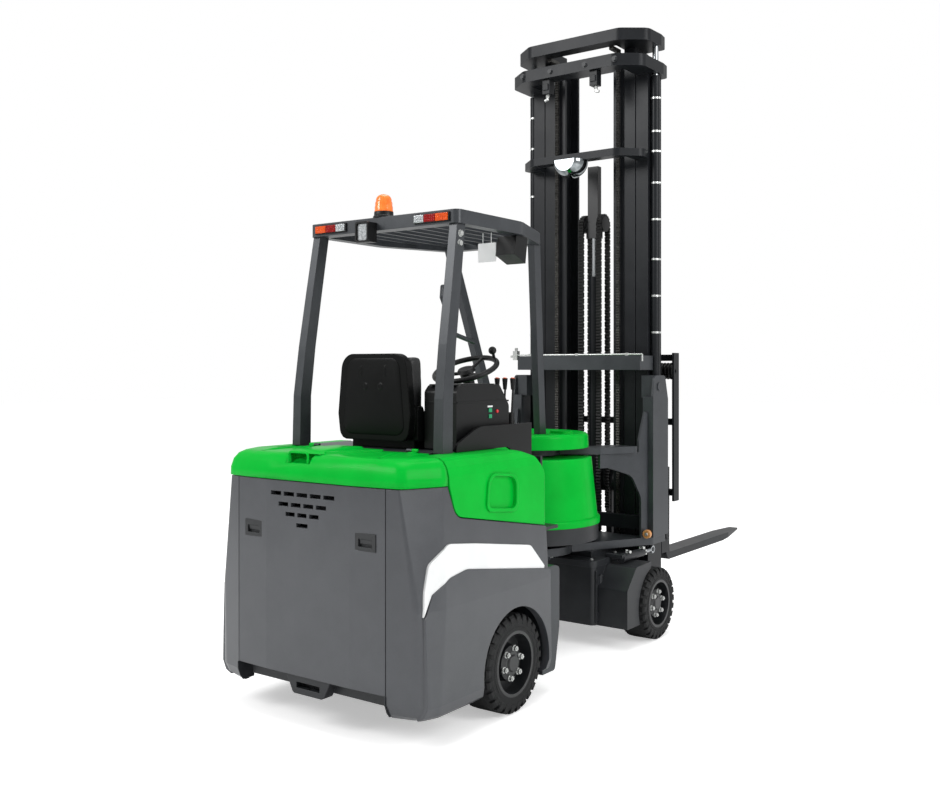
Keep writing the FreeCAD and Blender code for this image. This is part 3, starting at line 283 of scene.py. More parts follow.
bm = bmesh.new()
swell = [[bm.verts.new(at(x, y, HOOD_TOP + z * share)) for x, z in SWELL_SECTION]
         for y, share in SWELL_RUN]
bridge(bm, swell, closed=False)
cap_ends(bm, swell)
for rear_x, front_x in ((-346, -352), (356, 250)):
    # a bead with a half round section that tapers off at both ends
    rings = []
    for i in range(BEAD_STEPS + 1):
        t = i / BEAD_STEPS
        x = rear_x + (front_x - rear_x) * t
        y = BEAD_REAR + t * BEAD_LENGTH
        high = BEAD_HEIGHT * min(1, 4 * t + 0.1, 4 * (1 - t) + 0.1)
        rings.append([bm.verts.new(at(x + BEAD_HALF_WIDTH * math.cos(a), y,
                                      HOOD_TOP - BEAD_SINK + high * math.sin(a)))
                      for a in [math.pi * k / 6 for k in range(7)]])
    bridge(bm, rings, closed=False)
piece("hood_pressings", bm, green_paint, "hood_lid", smooth=50)

bm = bmesh.new()
grip = [Vector((GRIP_LEFT, GRIP_Y, GRIP_FLOOR))]
for bend_x, start in ((GRIP_LEFT + GRIP_BEND, 180), (GRIP_RIGHT - GRIP_BEND, 90)):
    for i in range(7):
        a = math.radians(start - 15 * i)
        grip.append(Vector((bend_x + GRIP_BEND * math.cos(a), GRIP_Y,
                            GRIP_TOP - GRIP_BEND + GRIP_BEND * math.sin(a))))
grip.append(Vector((GRIP_RIGHT, GRIP_Y, GRIP_FLOOR)))
bent_rod(bm, grip, GRIP_BAR)
for x in (GRIP_LEFT, GRIP_RIGHT):
    add_rod(bm, (x, GRIP_Y, GRIP_FLOOR), (x, GRIP_Y, GRIP_FLOOR + 4), GRIP_FOOT, 16)
piece("hood_handle", bm, green_paint, "hood_lid")

# near-black plates at the fenders' ends: painted shade where the tucked-under corner lies in shadow
bm = bmesh.new()
for side in (-1, 1):
    add_plate(bm, END_PLATE, 3, at(side * END_PLATE_X, 0, 0), Vector((0, 1, 0)), Vector((0, 0, 1)))
piece("fender_end_shade_plates", bm, frame_paint, "rear_chassis")

# Rear latches: two moulded black plastic pockets let into the rear cover, each with a frame of four
# bars, a floor and a paddle that stands out at its lower edge. They snap into the steel.
COVER_Y = -694
LATCH_X = 335
LATCH_Z = 837
LATCH_HALF_WIDTH = 56
LATCH_HALF_HEIGHT = 37
POCKET_HALF_WIDTH = 38
POCKET_TOP = 12
POCKET_BOTTOM = -20
# moulded polypropylene: dull dark grey with a fine grain
latch_grey = surface("dark_grey_plastic_matte", "#26282A", 0.5, dark="#202224", grain=0.3, grain_mm=0.8)


def add_box(bm, low, high, turn=None):
    # a box between two corners in millimetres, turned about its middle by turn if given
    a, b = at(*low), at(*high)
    middle = (a + b) / 2
    size = b - a
    matrix = Matrix.Translation(middle) @ (turn or Matrix.Identity(4)) @ Matrix.Diagonal((*size, 1))
    bmesh.ops.create_cube(bm, size=1, matrix=matrix)


def rear_latch(side):
    bm = bmesh.new()
    outer, inner = LATCH_HALF_WIDTH, POCKET_HALF_WIDTH
    for x0, x1, z0, z1 in ((-outer, outer, POCKET_TOP, LATCH_HALF_HEIGHT),
                           (-outer, outer, -LATCH_HALF_HEIGHT, POCKET_BOTTOM),
                           (-outer, -inner, POCKET_BOTTOM - 1, POCKET_TOP + 1),
                           (inner, outer, POCKET_BOTTOM - 1, POCKET_TOP + 1)):
        add_box(bm, (side * LATCH_X + x0, COVER_Y - 4, LATCH_Z + z0),
                (side * LATCH_X + x1, COVER_Y + 10, LATCH_Z + z1))
    x = side * LATCH_X
    add_box(bm, (x - 50, COVER_Y + 10, LATCH_Z - 34), (x + 50, COVER_Y + 14, LATCH_Z + 34))
    add_box(bm, (x - 34, COVER_Y + 2, LATCH_Z - 8), (x + 34, COVER_Y + 8, LATCH_Z + POCKET_TOP),
            Matrix.Rotation(math.radians(8), 4, "X"))
    piece("rear_latch_" + ("left" if side < 0 else "right"), bm, latch_grey, "rear_chassis", 1.5)


for side in (-1, 1):
    rear_latch(side)

# Guard, deck, steps, arm and columns: rolled section and plate, painted in a metallic dark grey.
# Zinc plated bolts hold the guard to its legs, and a blank white card hangs on two wires under it.
GUARD_BOLT_X = 443
GUARD_BOLT_Z = (2112, 2156)
LEG_LEAN = 0.12
CARD_X = 247
CARD_Y = 300
CARD_Z = 2127
CARD_HALF_WIDTH = 54
CARD_HALF_HEIGHT = 47
# metallic enamel: dark grey with a dull metal sheen
guard_paint = surface("guard_paint_metallic", "#393C40", 0.36, metal=0.25, dark="#313438", flake=0.08,
                      grain=0.08, bevel_mm=4)
# coated card: plain satin white
card_white = surface("white_card_satin", "#F8F9F9", 0.4, dark="#F0F2F2")
dress("guard_pillars overhead_guard grab_handle deck steps swing_arm turn_plate columns crossbar",
      guard_paint)


def add_bolt(bm, place, direction, size=12):
    # a hexagon bolt head on its washer; size is the thread
    a = Vector(place)
    d = Vector(direction).normalized()
    add_rod(bm, a, a + d * size * 0.16, size * 1.15, 20)
    a = a + d * size * 0.16
    add_rod(bm, a, a + d * size * 0.6, size * 0.92, 6)


def rounded_outline(half_w, half_h, radius, steps=6):
    points = []
    for cx, cy, start in ((1, 1, 0), (-1, 1, 90), (-1, -1, 180), (1, -1, 270)):
        for i in range(steps + 1):
            a = math.radians(start + 90 * i / steps)
            points.append((cx * (half_w - radius) + radius * math.cos(a),
                           cy * (half_h - radius) + radius * math.sin(a)))
    return points


bm = bmesh.new()
for side in (-1, 1):
    for z in GUARD_BOLT_Z:
        y = -192 + (z - GUARD_BOLT_Z[0]) * LEG_LEAN
        add_bolt(bm, (side * GUARD_BOLT_X, y, z), (side, 0, 0), 14)
piece("guard_bolts", bm, zinc, "rear_chassis")
bm = bmesh.new()
add_plate(bm, rounded_outline(CARD_HALF_WIDTH, CARD_HALF_HEIGHT, 6), 3, at(CARD_X, CARD_Y, CARD_Z),
          Vector((1, 0, 0)), Vector((0, 0, 1)))
for x in (CARD_X - 25, CARD_X + 25):
    add_rod(bm, (x, CARD_Y, 2168), (x, CARD_Y, 2224), 2, 8)
piece("blank_card", bm, card_white, "rear_chassis")

# Rear lamps, work lamp and beacon: moulded black housings with dimpled clear, red and amber lenses,
# screwed to the guard's rear edge. The beacon is a stepped amber dome on a black foot.
LAMP_FACE_Y = -230
LAMP_Z = 2231
LAMP_X = 311
LAMP_HALF_WIDTH = 97
LENS_HALF_HEIGHT = 17
LENS_WIDTH = {"amber": 70, "red": 66, "clear": 58}
LENS_GAP = 2
DIMPLE_PITCH = 11
WORK_LAMP = Vector((-55, -278, 2190))
BEACON = (-15, -176)
BEACON_DOME = [(44, 2292), (45, 2296), (43, 2300), (43, 2316), (41, 2320), (41, 2336), (38, 2340),
               (37, 2352), (33, 2362), (25, 2370), (13, 2375), (3, 2377)]
BEACON_FOOT = [(51, 2262.2), (51, 2270), (46, 2276), (46, 2290), (44, 2293)]
# moulded ABS: deep black with a fine grain
black_plastic = surface("black_plastic_matte", "#0D0E0F", 0.4, dark="#090A0B", grain=0.3, grain_mm=0.8,
                        specular=0.28)
# moulded acrylic lenses: full colour, broken into small darker cells
LENSES = {
    "amber": surface("amber_lens_gloss", "#F05A00", 0.14, dark="#C44000", coat=0.2, grain=0.02,
                     patch_mm=8, specular=0.3),
    "red": surface("red_lens_gloss", "#A80606", 0.14, dark="#700303", coat=0.2, grain=0.02,
                   patch_mm=8, specular=0.2),
    "clear": surface("clear_lens_faceted", "#DDE1E3", 0.12, dark="#84898C", metal=0.4, patch_mm=6,
                     coat=1.0, grain=0.3)}
# moulded polycarbonate: a bright amber that seems lit from inside
beacon_amber = surface("beacon_lens_gloss", "#FF8430", 0.14, dark="#F46A14", coat=0.6, grain=0.02,
                       emit=0.14, patch_mm=25, specular=0.3)
dress("lamps", black_plastic)
dress("beacon", beacon_amber)


def lens(label, colour, x0, x1):
    bm = bmesh.new()
    add_box(bm, (x0, LAMP_FACE_Y - 5, LAMP_Z - LENS_HALF_HEIGHT),
            (x1, LAMP_FACE_Y + 2, LAMP_Z + LENS_HALF_HEIGHT))
    count = max(2, round((x1 - x0) / DIMPLE_PITCH))
    for i in range(count):
        x = x0 + (i + 0.5) * (x1 - x0) / count
        for row in (-1, 0, 1):
            z = LAMP_Z + row * DIMPLE_PITCH
            add_rod(bm, (x, LAMP_FACE_Y - 4, z), (x, LAMP_FACE_Y - 7, z), 4.6, 8, 2.5)
    piece(f"lens_{label}_{colour}", bm, LENSES[colour], "rear_chassis", 1.2)


def turned_piece(name, profile, centre, mat, body, sides=40):
    # a profile of (radius, height) turned about an upright line
    bm = bmesh.new()
    rings = []
    for radius, z in profile:
        ring = []
        for i in range(sides):
            a = 2 * math.pi * i / sides
            place = at(centre[0] + radius * math.cos(a), centre[1] + radius * math.sin(a), z)
            ring.append(bm.verts.new(place))
        rings.append(ring)
    bridge(bm, rings)
    cap_ends(bm, rings)
    return piece(name, bm, mat, body)


for side, label, order in ((-1, "left", ("amber", "red", "clear")),
                           (1, "right", ("clear", "red", "amber"))):
    x = side * LAMP_X - LAMP_HALF_WIDTH
    for colour in order:
        lens(label, colour, x, x + LENS_WIDTH[colour] - LENS_GAP)
        x += LENS_WIDTH[colour]

bm = bmesh.new()
add_plate(bm, rounded_outline(31, 39, 9), 6, at(*WORK_LAMP), Vector((1, 0, 0)), Vector((0, 0, 1)))
piece("work_lamp_lens", bm, LENSES["clear"], "rear_chassis", 1.5)
bm = bmesh.new()
rim_outer = rounded_outline(40, 49, 13)
rim_inner = rounded_outline(32, 40, 9)
rings = [[bm.verts.new(at(WORK_LAMP.x + u, y, WORK_LAMP.z + v)) for u, v in points]
         for points, y in ((rim_outer, -276), (rim_outer, -290), (rim_inner, -290), (rim_inner, -276))]
bridge(bm, rings + rings[:1])
piece("work_lamp_bezel", bm, black_plastic, "rear_chassis")

dome = turned_piece("beacon_lens", BEACON_DOME, BEACON, beacon_amber, "rear_chassis")
turned_piece("beacon_foot", BEACON_FOOT, BEACON, black_plastic, "rear_chassis")
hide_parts("beacon")

# Seat: a moulded black shell with a raised rim, two bosses and two slots at the back, on a sprung base.
# The cushions are foam under black vinyl; the cloth simulation pumps them up to their crowned shape.
SEAT_BACK_Y = -268
SEAT_BACK_Z = 1424
PRESSING_HALF_WIDTH = 172
PRESSING_HALF_HEIGHT = 178
PRESSING_RADIUS = 52
PRESSING_EDGE = 8
PRESSING_TAPER = 0.1
BOSS_X = 46
VOXEL = 0.009
FOAM_FRAMES = 20
SWELL_FREE = 0.008
SWELL_ON_SHELL = 0.002
# in metres, the height and the place past which a cushion's face lies free of the shell
FREE_ABOVE = 1.26
FREE_BEFORE = 0.2
# moulded polypropylene: black with a soft sheen on its rounded rim
seat_shell_plastic = surface("black_shell_satin", "#0A0B0B", 0.34, dark="#070808", grain=0.2,
                             grain_mm=0.9, bevel_mm=9, specular=0.14)
# embossed vinyl: black, its grain drawn at 1.5 mm so that it shows
seat_vinyl = surface("black_vinyl_grained", "#18191A", 0.45, dark="#131415", grain=0.5, grain_mm=1.5)
dress("seat_shell", seat_shell_plastic)
dress("seat_cushions", seat_vinyl)

bm = bmesh.new()
outer = rounded_outline(PRESSING_HALF_WIDTH, PRESSING_HALF_HEIGHT, PRESSING_RADIUS, 8)
inner = rounded_outline(PRESSING_HALF_WIDTH - PRESSING_EDGE, PRESSING_HALF_HEIGHT - PRESSING_EDGE,
                        PRESSING_RADIUS - 6, 8)
middle = at(0, SEAT_BACK_Y, SEAT_BACK_Z)
rings = []
for points, y in ((outer, 1), (outer, -2), (inner, -4)):
    ring = []
    for u, v in points:
        narrow = 1 - PRESSING_TAPER * v / PRESSING_HALF_HEIGHT
        ring.append(bm.verts.new(middle + Vector((u * narrow / 1000, y / 1000, v / 1000))))
    rings.append(ring)
bridge(bm, rings)
bm.faces.new(rings[-1])
for x in (-BOSS_X, BOSS_X):
    add_rod(bm, (x, SEAT_BACK_Y + 1, 1470), (x, SEAT_BACK_Y - 5, 1470), 17, 24, 13)
    add_box(bm, (x * 1.6 - 6, SEAT_BACK_Y - 3, 1516), (x * 1.6 + 6, SEAT_BACK_Y + 1, 1564))
add_rod(bm, (-20, SEAT_BACK_Y + 1, 1560), (-20, SEAT_BACK_Y - 1.5, 1560), 6, 16)
piece("seat_back_pressing", bm, seat_shell_plastic, "rear_chassis", 1.5, smooth=50)


def pump_up(obj):
    # foam under a tight cover: the mesh swells, but hardly where it lies on the shell
    bpy.context.view_layer.objects.active = obj
    remesh = obj.modifiers.new("remesh", "REMESH")
    remesh.mode = "VOXEL"
    remesh.voxel_size = VOXEL
    bpy.ops.object.modifier_apply(modifier="remesh")
    rest_shape = [v.co.copy() for v in obj.data.vertices]
    cloth = obj.modifiers.new("foam", "CLOTH")
    cloth.settings.use_pressure = True
    cloth.settings.uniform_pressure_force = 4.0
    cloth.settings.effector_weights.gravity = 0.0
    cloth.settings.quality = 4
    cloth.point_cache.frame_start = 1
    cloth.point_cache.frame_end = FOAM_FRAMES
    for step in range(1, FOAM_FRAMES + 1):
        bpy.context.scene.frame_set(step)
    bpy.ops.object.modifier_apply(modifier="foam")
    bpy.context.scene.frame_set(1)
    for vertex, start in zip(obj.data.vertices, rest_shape):
        move = vertex.co - start
        free = start.z > FREE_ABOVE or start.y + ORIGIN_Y / 1000 > FREE_BEFORE
        limit = SWELL_FREE if free else SWELL_ON_SHELL
        if move.length > limit:
            move = move * (limit / move.length)
        vertex.co = start + move


cushion = bpy.data.objects.new("seat_pads", nodes["seat_cushions"].data.copy())
bpy.context.scene.collection.objects.link(cushion)
cushion.matrix_world = nodes["seat_cushions"].matrix_world.copy()
pump_up(cushion)
cushion.data.polygons.foreach_set("use_smooth", [True] * len(cushion.data.polygons))
smooth = cushion.modifiers.new("smooth", "SUBSURF")
smooth.levels = 1
smooth.render_levels = 1
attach(cushion, "rear_chassis")
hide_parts("seat_cushions")

# Console and controls: black moulded covers with a lid line, green switches clipped into the side, lever
# bellows and a red stop button in the top. The hand wheel is black foam over a steel rim.
CONSOLE_SIDE_X = 423
CONSOLE_LEFT_X = 246
LID_Z = 1396
SWITCH_Y = 60
LEVER_X = 296
LEVER_PITCH = 46
LEVER_COUNT = 3
BELLOWS_RINGS = 6
BELLOWS_PITCH = 14
BELLOWS_Z = 1252
HAND_WHEEL = Vector((20, 430, 1548))
HAND_WHEEL_TILT = math.radians(22)
# moulded plastics for the buttons, caps and labels: clear plain colours with a slight gloss
red_plastic = surface("red_plastic_gloss", "#D01822", 0.3, dark="#BC141C", coat=0.4)
green_plastic = surface("green_plastic_satin", "#1FA06A", 0.4, dark="#178A5A")
white_plastic = surface("white_plastic_satin", "#E8E9E9", 0.42, dark="#DDDFDF")
orange_plastic = surface("orange_plastic_satin", "#E0622E", 0.4, dark="#CC5424")
dress("console controls steering_column steering_wheel", black_plastic)

bm = bmesh.new()
add_box(bm, (CONSOLE_SIDE_X, -186, LID_Z), (CONSOLE_SIDE_X + 4, 226, LID_Z + 8))
add_box(bm, (CONSOLE_LEFT_X, -193, LID_Z), (CONSOLE_SIDE_X + 1, -189, LID_Z + 8))
add_box(bm, (CONSOLE_LEFT_X + 16, -180, 1476), (CONSOLE_SIDE_X - 19, 140, 1482))
piece("console_lid_edge", bm, black_plastic, "rear_chassis", 1.5)
bm = bmesh.new()
for z in (1330, 1358):
    add_box(bm, (CONSOLE_SIDE_X, SWITCH_Y, z - 9), (CONSOLE_SIDE_X + 5, SWITCH_Y + 24, z + 9))
piece("console_switches", bm, green_plastic, "rear_chassis", 1.5)
bm = bmesh.new()
add_box(bm, (CONSOLE_SIDE_X, SWITCH_Y - 8, 1372), (CONSOLE_SIDE_X + 2.5, SWITCH_Y + 32, 1380))
piece("console_switch_label", bm, white_plastic, "rear_chassis", 0.6)
bm = bmesh.new()
add_rod(bm, (CONSOLE_SIDE_X, 128, 1352), (CONSOLE_SIDE_X + 7, 128, 1352), 9, 20, 8)
add_rod(bm, (430, 250, 1262), (430, 250, 1284), 21, 28, 19)
piece("red_buttons", bm, red_plastic, "rear_chassis", 1.5)

bellows = bmesh.new()
caps = bmesh.new()
for i in range(LEVER_COUNT):
    x = LEVER_X + i * LEVER_PITCH
    for ring in range(BELLOWS_RINGS):
        z = BELLOWS_Z + ring * BELLOWS_PITCH
        add_rod(bellows, (x, 300 + ring, z), (x, 300 + ring, z + 8), 26 - ring * 2, 20, 22 - ring * 2)
    add_rod(caps, (x, 318, 1503), (x, 319, 1508), 12, 20, 9)
piece("lever_bellows", bellows, black_plastic, "rear_chassis", 1.0)
piece("lever_caps", caps, orange_plastic, "rear_chassis", 1.0)

wheel_axis = Vector((0, -math.sin(HAND_WHEEL_TILT), math.cos(HAND_WHEEL_TILT)))
bm = bmesh.new()
add_rod(bm, HAND_WHEEL - wheel_axis * 14, HAND_WHEEL + wheel_axis * 6, 52, 32, 40)
piece("hand_wheel_hub_cap", bm, black_plastic, "hand_wheel", 3)

# Floor and pedals: a ribbed rubber mat laid on the step-in floor, and steel brake and accelerator
# pads on the rods that carry them under the nose.
MAT_LEFT = -360
MAT_RIGHT = 400
MAT_Z = 791
MAT_RIBS = 22
MAT_RIB_PITCH = 34
# moulded rubber: matte near-black that takes hardly any light
rubber = surface("tyre_rubber_matte", "#161718", 0.6, dark="#101112", grain=0.4, grain_mm=2, specular=0.3)
bm = bmesh.new()
add_box(bm, (MAT_LEFT, 50, MAT_Z), (MAT_RIGHT, 436, MAT_Z + 6))
for i in range(MAT_RIBS):
    x = MAT_LEFT + 10 + i * MAT_RIB_PITCH
    add_box(bm, (x, 58, MAT_Z + 6), (x + 16, 428, MAT_Z + 9))
piece("floor_mat", bm, rubber, "rear_chassis", 1.0)
bm = bmesh.new()
for x, half_width in ((80, 34), (180, 26)):
    add_box(bm, (x - half_width, 340, 850), (x + half_width, 352, 950),
            Matrix.Rotation(math.radians(-35), 4, "X"))
    add_rod(bm, (x, 352, 890), (x, 420, 880), 8)
piece("pedals", bm, frame_paint, "rear_chassis", 2)

# Wheels: black painted steel rims with six zinc nuts; tyres of solid rubber whose shoulder lugs are
# moulded in one with the tread, set alternately on the two sides.
# corner: side, y of the axle, tyre radius, tyre width, outer face
WHEELS = {"rear_left": (-1, 0, 223, 176, 615), "rear_right": (1, 0, 223, 176, 615),
          "front_left": (-1, 1547, 204, 160, 580), "front_right": (1, 1547, 204, 160, 580)}
LUGS = 26
WALL_RING_PLACES = (0.73, 0.84)
WALL_RING_STEPS = 48
WALL_RING_SIDES = 6
NUTS = 6
NUT_CIRCLE = 66
RIM_STUDS = 8
# sprayed satin enamel: black, a little brighter than the tyre
rim_paint = surface("rim_paint_satin", "#1C1E20", 0.34, dark="#151719", grain=0.1, coat=0.2)


def add_lug(bm, profile, angle, pitch, middle_x, axle_y, radius):
    # one lug from its profile of (sideways, radius, half width as a share of the pitch)
    rings = []
    for shift in (-1, 1):
        ring = []
        for sideways, r, spread in profile:
            a = angle + shift * spread * pitch
            ring.append(bm.verts.new(at(middle_x + sideways, axle_y + r * math.sin(a),
                                        radius + r * math.cos(a))))
        rings.append(ring)
    bm.faces.new(rings[0])
    bm.faces.new(list(reversed(rings[1])))
    bridge(bm, rings)


def tyre_tread(corner, side, axle_y, radius, width, outside):
    bm = bmesh.new()
    middle_x = side * (outside - width / 2)
    half = width / 2
    pitch = 2 * math.pi / LUGS
    for face in (-1, 1):
        inner = face * (half - 30)
        profile = [(inner, radius - 0.6, 0.29), (face * (half - 7), radius - 0.8, 0.33),
                   (face * (half + 1.5), radius - 12, 0.33), (face * (half + 1.5), radius - 44, 0.22),
                   (face * (half - 4), radius - 48, 0.2), (inner, radius - 22, 0.29)]
        for i in range(LUGS):
            angle = (i + (0.5 if face > 0 else 0)) * pitch
            add_lug(bm, profile, angle, pitch, middle_x, axle_y, radius)
    for share in WALL_RING_PLACES:
        # low rings moulded on the side wall
        rings = []
        for i in range(WALL_RING_STEPS):
            a = 2 * math.pi * i / WALL_RING_STEPS
            ring = []
            for k in range(WALL_RING_SIDES):
                b = 2 * math.pi * k / WALL_RING_SIDES
                r = radius * share + 3.5 * math.cos(b)
                x = middle_x + side * (half - 0.5) + side * 2.5 * math.sin(b)
                ring.append(bm.verts.new(at(x, axle_y + r * math.sin(a), radius + r * math.cos(a))))
            rings.append(ring)
        bridge(bm, rings + rings[:1])
    piece(corner + "_tread", bm, rubber, "wheel_" + corner, 2.0, 1)


def wheel_nuts(corner, side, axle_y, radius, outside):
    bm = bmesh.new()
    out = outside * side
    for i in range(NUTS):
        a = math.radians(360 / NUTS * i + 15)
        y = axle_y + NUT_CIRCLE * math.sin(a)
        z = radius + NUT_CIRCLE * math.cos(a)
        add_rod(bm, (out - side * 24, y, z), (out - side * 17, y, z), 15, 20)
        add_rod(bm, (out - side * 18, y, z), (out - side * 4, y, z), 12.5, 6)
        add_rod(bm, (out - side * 5, y, z), (out + side * 1, y, z), 6, 12)
    piece(corner + "_nuts", bm, zinc, "wheel_" + corner, 0.8, 1)


def hub_cap(corner, side, axle_y, radius, outside):
    # the hub's cap, inside a ring of low studs on the rim's dish
    bm = bmesh.new()
    out = outside * side
    circle = radius * 0.66 - 20 - 22
    for i in range(RIM_STUDS):
        a = math.radians(360 / RIM_STUDS * i + 22)
        y = axle_y + circle * math.sin(a)
        z = radius + circle * math.cos(a)
        add_rod(bm, (out - side * 63, y, z), (out - side * 58, y, z), 9, 16, 6)
    add_rod(bm, (out - side * 17, axle_y, radius), (out - side * 9, axle_y, radius), 40, 32, 34)
    piece(corner + "_hub_cap", bm, rim_paint, "wheel_" + corner, 2)


for corner, (side, axle_y, radius, width, outside) in WHEELS.items():
    dress(corner + "_tyre", rubber)
    dress(corner + "_rim", rim_paint)
    tyre_tread(corner, side, axle_y, radius, width, outside)
    wheel_nuts(corner, side, axle_y, radius, outside)
    hub_cap(corner, side, axle_y, radius, outside)

# Front unit: zinc plated unions on the tilt cylinders under the plate, a turned urethane stop roller
# on each side, the welded hinges of the axle box's doors, and the bolts of plate and king pin.
CYLINDER_X = 445
HINGE_X = 378
HINGE_Y = 1220
ROLLER_X = 476
ROLLER_Z = 585
KING_PIN_Y = 1080
KING_PIN_CIRCLE = 200
KING_PIN_BOLTS = 8
# cast urethane: warm translucent amber, drawn solid
urethane = surface("urethane_amber_satin", "#D79A62", 0.4, dark="#C88A52", grain=0.05)

fittings = bmesh.new()
hinges = bmesh.new()
rollers = bmesh.new()
bolts = bmesh.new()
for side in (-1, 1):
    x = side * CYLINDER_X
    for y, top in ((1400, 520), (1570, 512)):
        add_rod(fittings, (x, y, 500), (x, y, top), 8, 6)
        add_rod(fittings, (x, y, 508), (side * 470, y - 10, 511), 6, 14)
        add_rod(fittings, (side * 466, y - 8, 511), (side * 478, y - 14, 511), 9, 6)
    add_rod(fittings, (x, 1596, 478), (x, 1613, 478), 27, 6)
    x = side * HINGE_X
    add_rod(hinges, (x, HINGE_Y, 140), (x, HINGE_Y, 400), 6, 14)
    for z in (170, 370):
        add_rod(hinges, (x, HINGE_Y, z - 26), (x, HINGE_Y, z + 26), 11, 18)
        add_box(hinges, (x - 3, HINGE_Y - 40, z - 22), (x + 3, HINGE_Y + 40, z + 22))
    add_box(hinges, (x - 6, 1166, 135), (x + 1, 1176, 425))
    x = side * ROLLER_X
    add_rod(rollers, (x, 1588, ROLLER_Z), (x, 1612, ROLLER_Z), 25, 28)
    add_bolt(bolts, (x, 1588, ROLLER_Z), (0, -1, 0), 9)
    for y in (1200, 1480):
        add_bolt(bolts, (side * 330, y, 480), (0, 0, 1), 10)
    for y in (1662, 1820):
        add_bolt(bolts, (side * 462, y, 576), (0, 0, 1), 12)
for i in range(KING_PIN_BOLTS):
    a = math.radians(360 / KING_PIN_BOLTS * i + 22)
    add_bolt(bolts, (KING_PIN_CIRCLE * math.sin(a), KING_PIN_Y + KING_PIN_CIRCLE * math.cos(a), 515),
             (0, 0, -1), 12)
piece("hydraulic_fittings", fittings, zinc, "front_unit", 0.8)
piece("axle_box_hinges", hinges, frame_paint, "front_unit", 1.5)
piece("stop_rollers", rollers, urethane, "front_unit", 2)
piece("front_unit_bolts", bolts, zinc, "front_unit")

# Mast: hot rolled channels with welded ties, painted a dark grey, and the rods of the lift and tilt
# cylinders, ground and hard chromed. A steel pipe is clipped along the crossbar, and bolts hold the ties.
PIPE_X = 440
PIPE_Y = 1608
PIPE_Z = 1637
PIPE_RADIUS = 5.5
CLIP_X = (-340, 0, 340)
TIE_BOLT_Z = 3364
YOKE_BOTTOM = 2.3698
# sprayed satin enamel: very dark grey, lighter along its worn edges
mast_paint = surface("mast_paint_satin", "#1D1F22", 0.36, metal=0.1, dark="#17191C", grain=0.12,
                     edge="#3A3D40", specular=0.22)
# hard chrome: a bright, nearly sharp mirror
chrome = surface("hard_chrome_polished", "#B4B8BB", 0.16, metal=1.0, dark="#A0A4A7", grain=0.02,
                 rough_swing=0.04)
dress("outer_mast middle_mast inner_mast carriage shift_frame fork_left fork_right lift_barrels",
      mast_paint)
dress("lift_rods tilt_rods", chrome)


def painted_yoke():
    # the free lift's piston is bare chrome below its painted yoke
    mat = surface("crosshead_paint_satin", "#17181A", 0.4, dark="#121315", grain=0.12)
    tree = mat.node_tree
    painted = [n for n in tree.nodes if n.type == "BSDF_PRINCIPLED"][0]
    out = [n for n in tree.nodes if n.type == "OUTPUT_MATERIAL"][0]
    place = add(tree, "ShaderNodeTexCoord").outputs["Object"]
    height = add(tree, "ShaderNodeSeparateXYZ", None, None, {0: place})
    below = add(tree, "ShaderNodeMath", {"operation": "LESS_THAN"}, {1: YOKE_BOTTOM},
                {0: height.outputs["Z"]})
    plated = add(tree, "ShaderNodeBsdfPrincipled", None,
                 {"Base Color": linear("#C4C8CA"), "Metallic": 1.0, "Roughness": 0.16})
    mixed = add(tree, "ShaderNodeMixShader", None, None,
                {0: below.outputs[0], 1: painted.outputs[0], 2: plated.outputs[0]})
    tree.links.new(mixed.outputs[0], out.inputs["Surface"])
    return mat


dress("crosshead", painted_yoke())
bm = bmesh.new()
add_rod(bm, (-PIPE_X, PIPE_Y, PIPE_Z), (PIPE_X, PIPE_Y, PIPE_Z), PIPE_RADIUS, 14)
for x in CLIP_X:
    add_box(bm, (x - 9, PIPE_Y - 8, PIPE_Z - 7.5), (x + 9, PIPE_Y + 9, PIPE_Z + 8))
add_box(bm, (-PIPE_X - 22, PIPE_Y - 16, 1606), (-PIPE_X + 10, PIPE_Y + 16, 1664))
add_rod(bm, (-PIPE_X - 6, PIPE_Y, 1664), (-PIPE_X - 6, PIPE_Y, 1684), 10, 6)
add_rod(bm, (-PIPE_X - 22, PIPE_Y, 1628), (-PIPE_X - 46, PIPE_Y, 1628), 9, 6)
add_rod(bm, (PIPE_X, PIPE_Y, PIPE_Z), (PIPE_X, PIPE_Y, 1596), PIPE_RADIUS, 14)
piece("crossbar_pipe", bm, zinc, "mast_outer", 0.8)
bm = bmesh.new()
for side in (-1, 1):
    add_bolt(bm, (side * 478, 1742, 1446), (side, 0, 0), 16)
    for x, y in ((120, 1490), (320, 1489)):
        add_bolt(bm, (side * x, y, TIE_BOLT_Z), (0, -1, 0), 16)
piece("mast_bolts", bm, frame_paint, "mast_outer")

# Chains: leaf chain of pressed link plates on riveted pins. Two strands run up the rear of the rails
# to anchor bolts under the middle tie, and two pass over the free lift's sheaves.
LIFT_CHAIN_X = 217
LIFT_CHAIN_Y = 1730
LIFT_CHAIN_BOTTOM = 340
LIFT_CHAIN_TOP = 3462
LIFT_LINK = {"pitch": 15.875, "plates": 4, "thick": 2.9, "height": 15.5}
FREE_CHAIN_X = 62
SHEAVE_Y = 1825
SHEAVE_Z = 2455
SHEAVE_RADIUS = 56
SHEAVE_STEPS = 12
FREE_LINK = {"pitch": 19.05, "plates": 4, "thick": 4.2, "height": 19}
# a waisted link plate, its corners as shares of half its length and half its height
LINK_PLATE = [(-1.0, 0.0), (-0.86, 0.72), (-0.5, 1.0), (0.0, 0.62), (0.5, 1.0), (0.86, 0.72),
              (1.0, 0.0), (0.86, -0.72), (0.5, -1.0), (0.0, -0.62), (-0.5, -1.0), (-0.86, -0.72)]
# oiled steel: dark grey-brown metal with small wet lights
chain_steel = surface("chain_steel_oiled", "#4C4B48", 0.32, metal=0.7, dark="#2E2D2B", grain=0.3,
                      patch_mm=30, bevel_mm=0.5)
# blackened steel: dull black metal
chain_black = surface("chain_steel_blackened", "#1C1C1C", 0.4, metal=0.5, dark="#121212", grain=0.3,
                      bevel_mm=0.5)


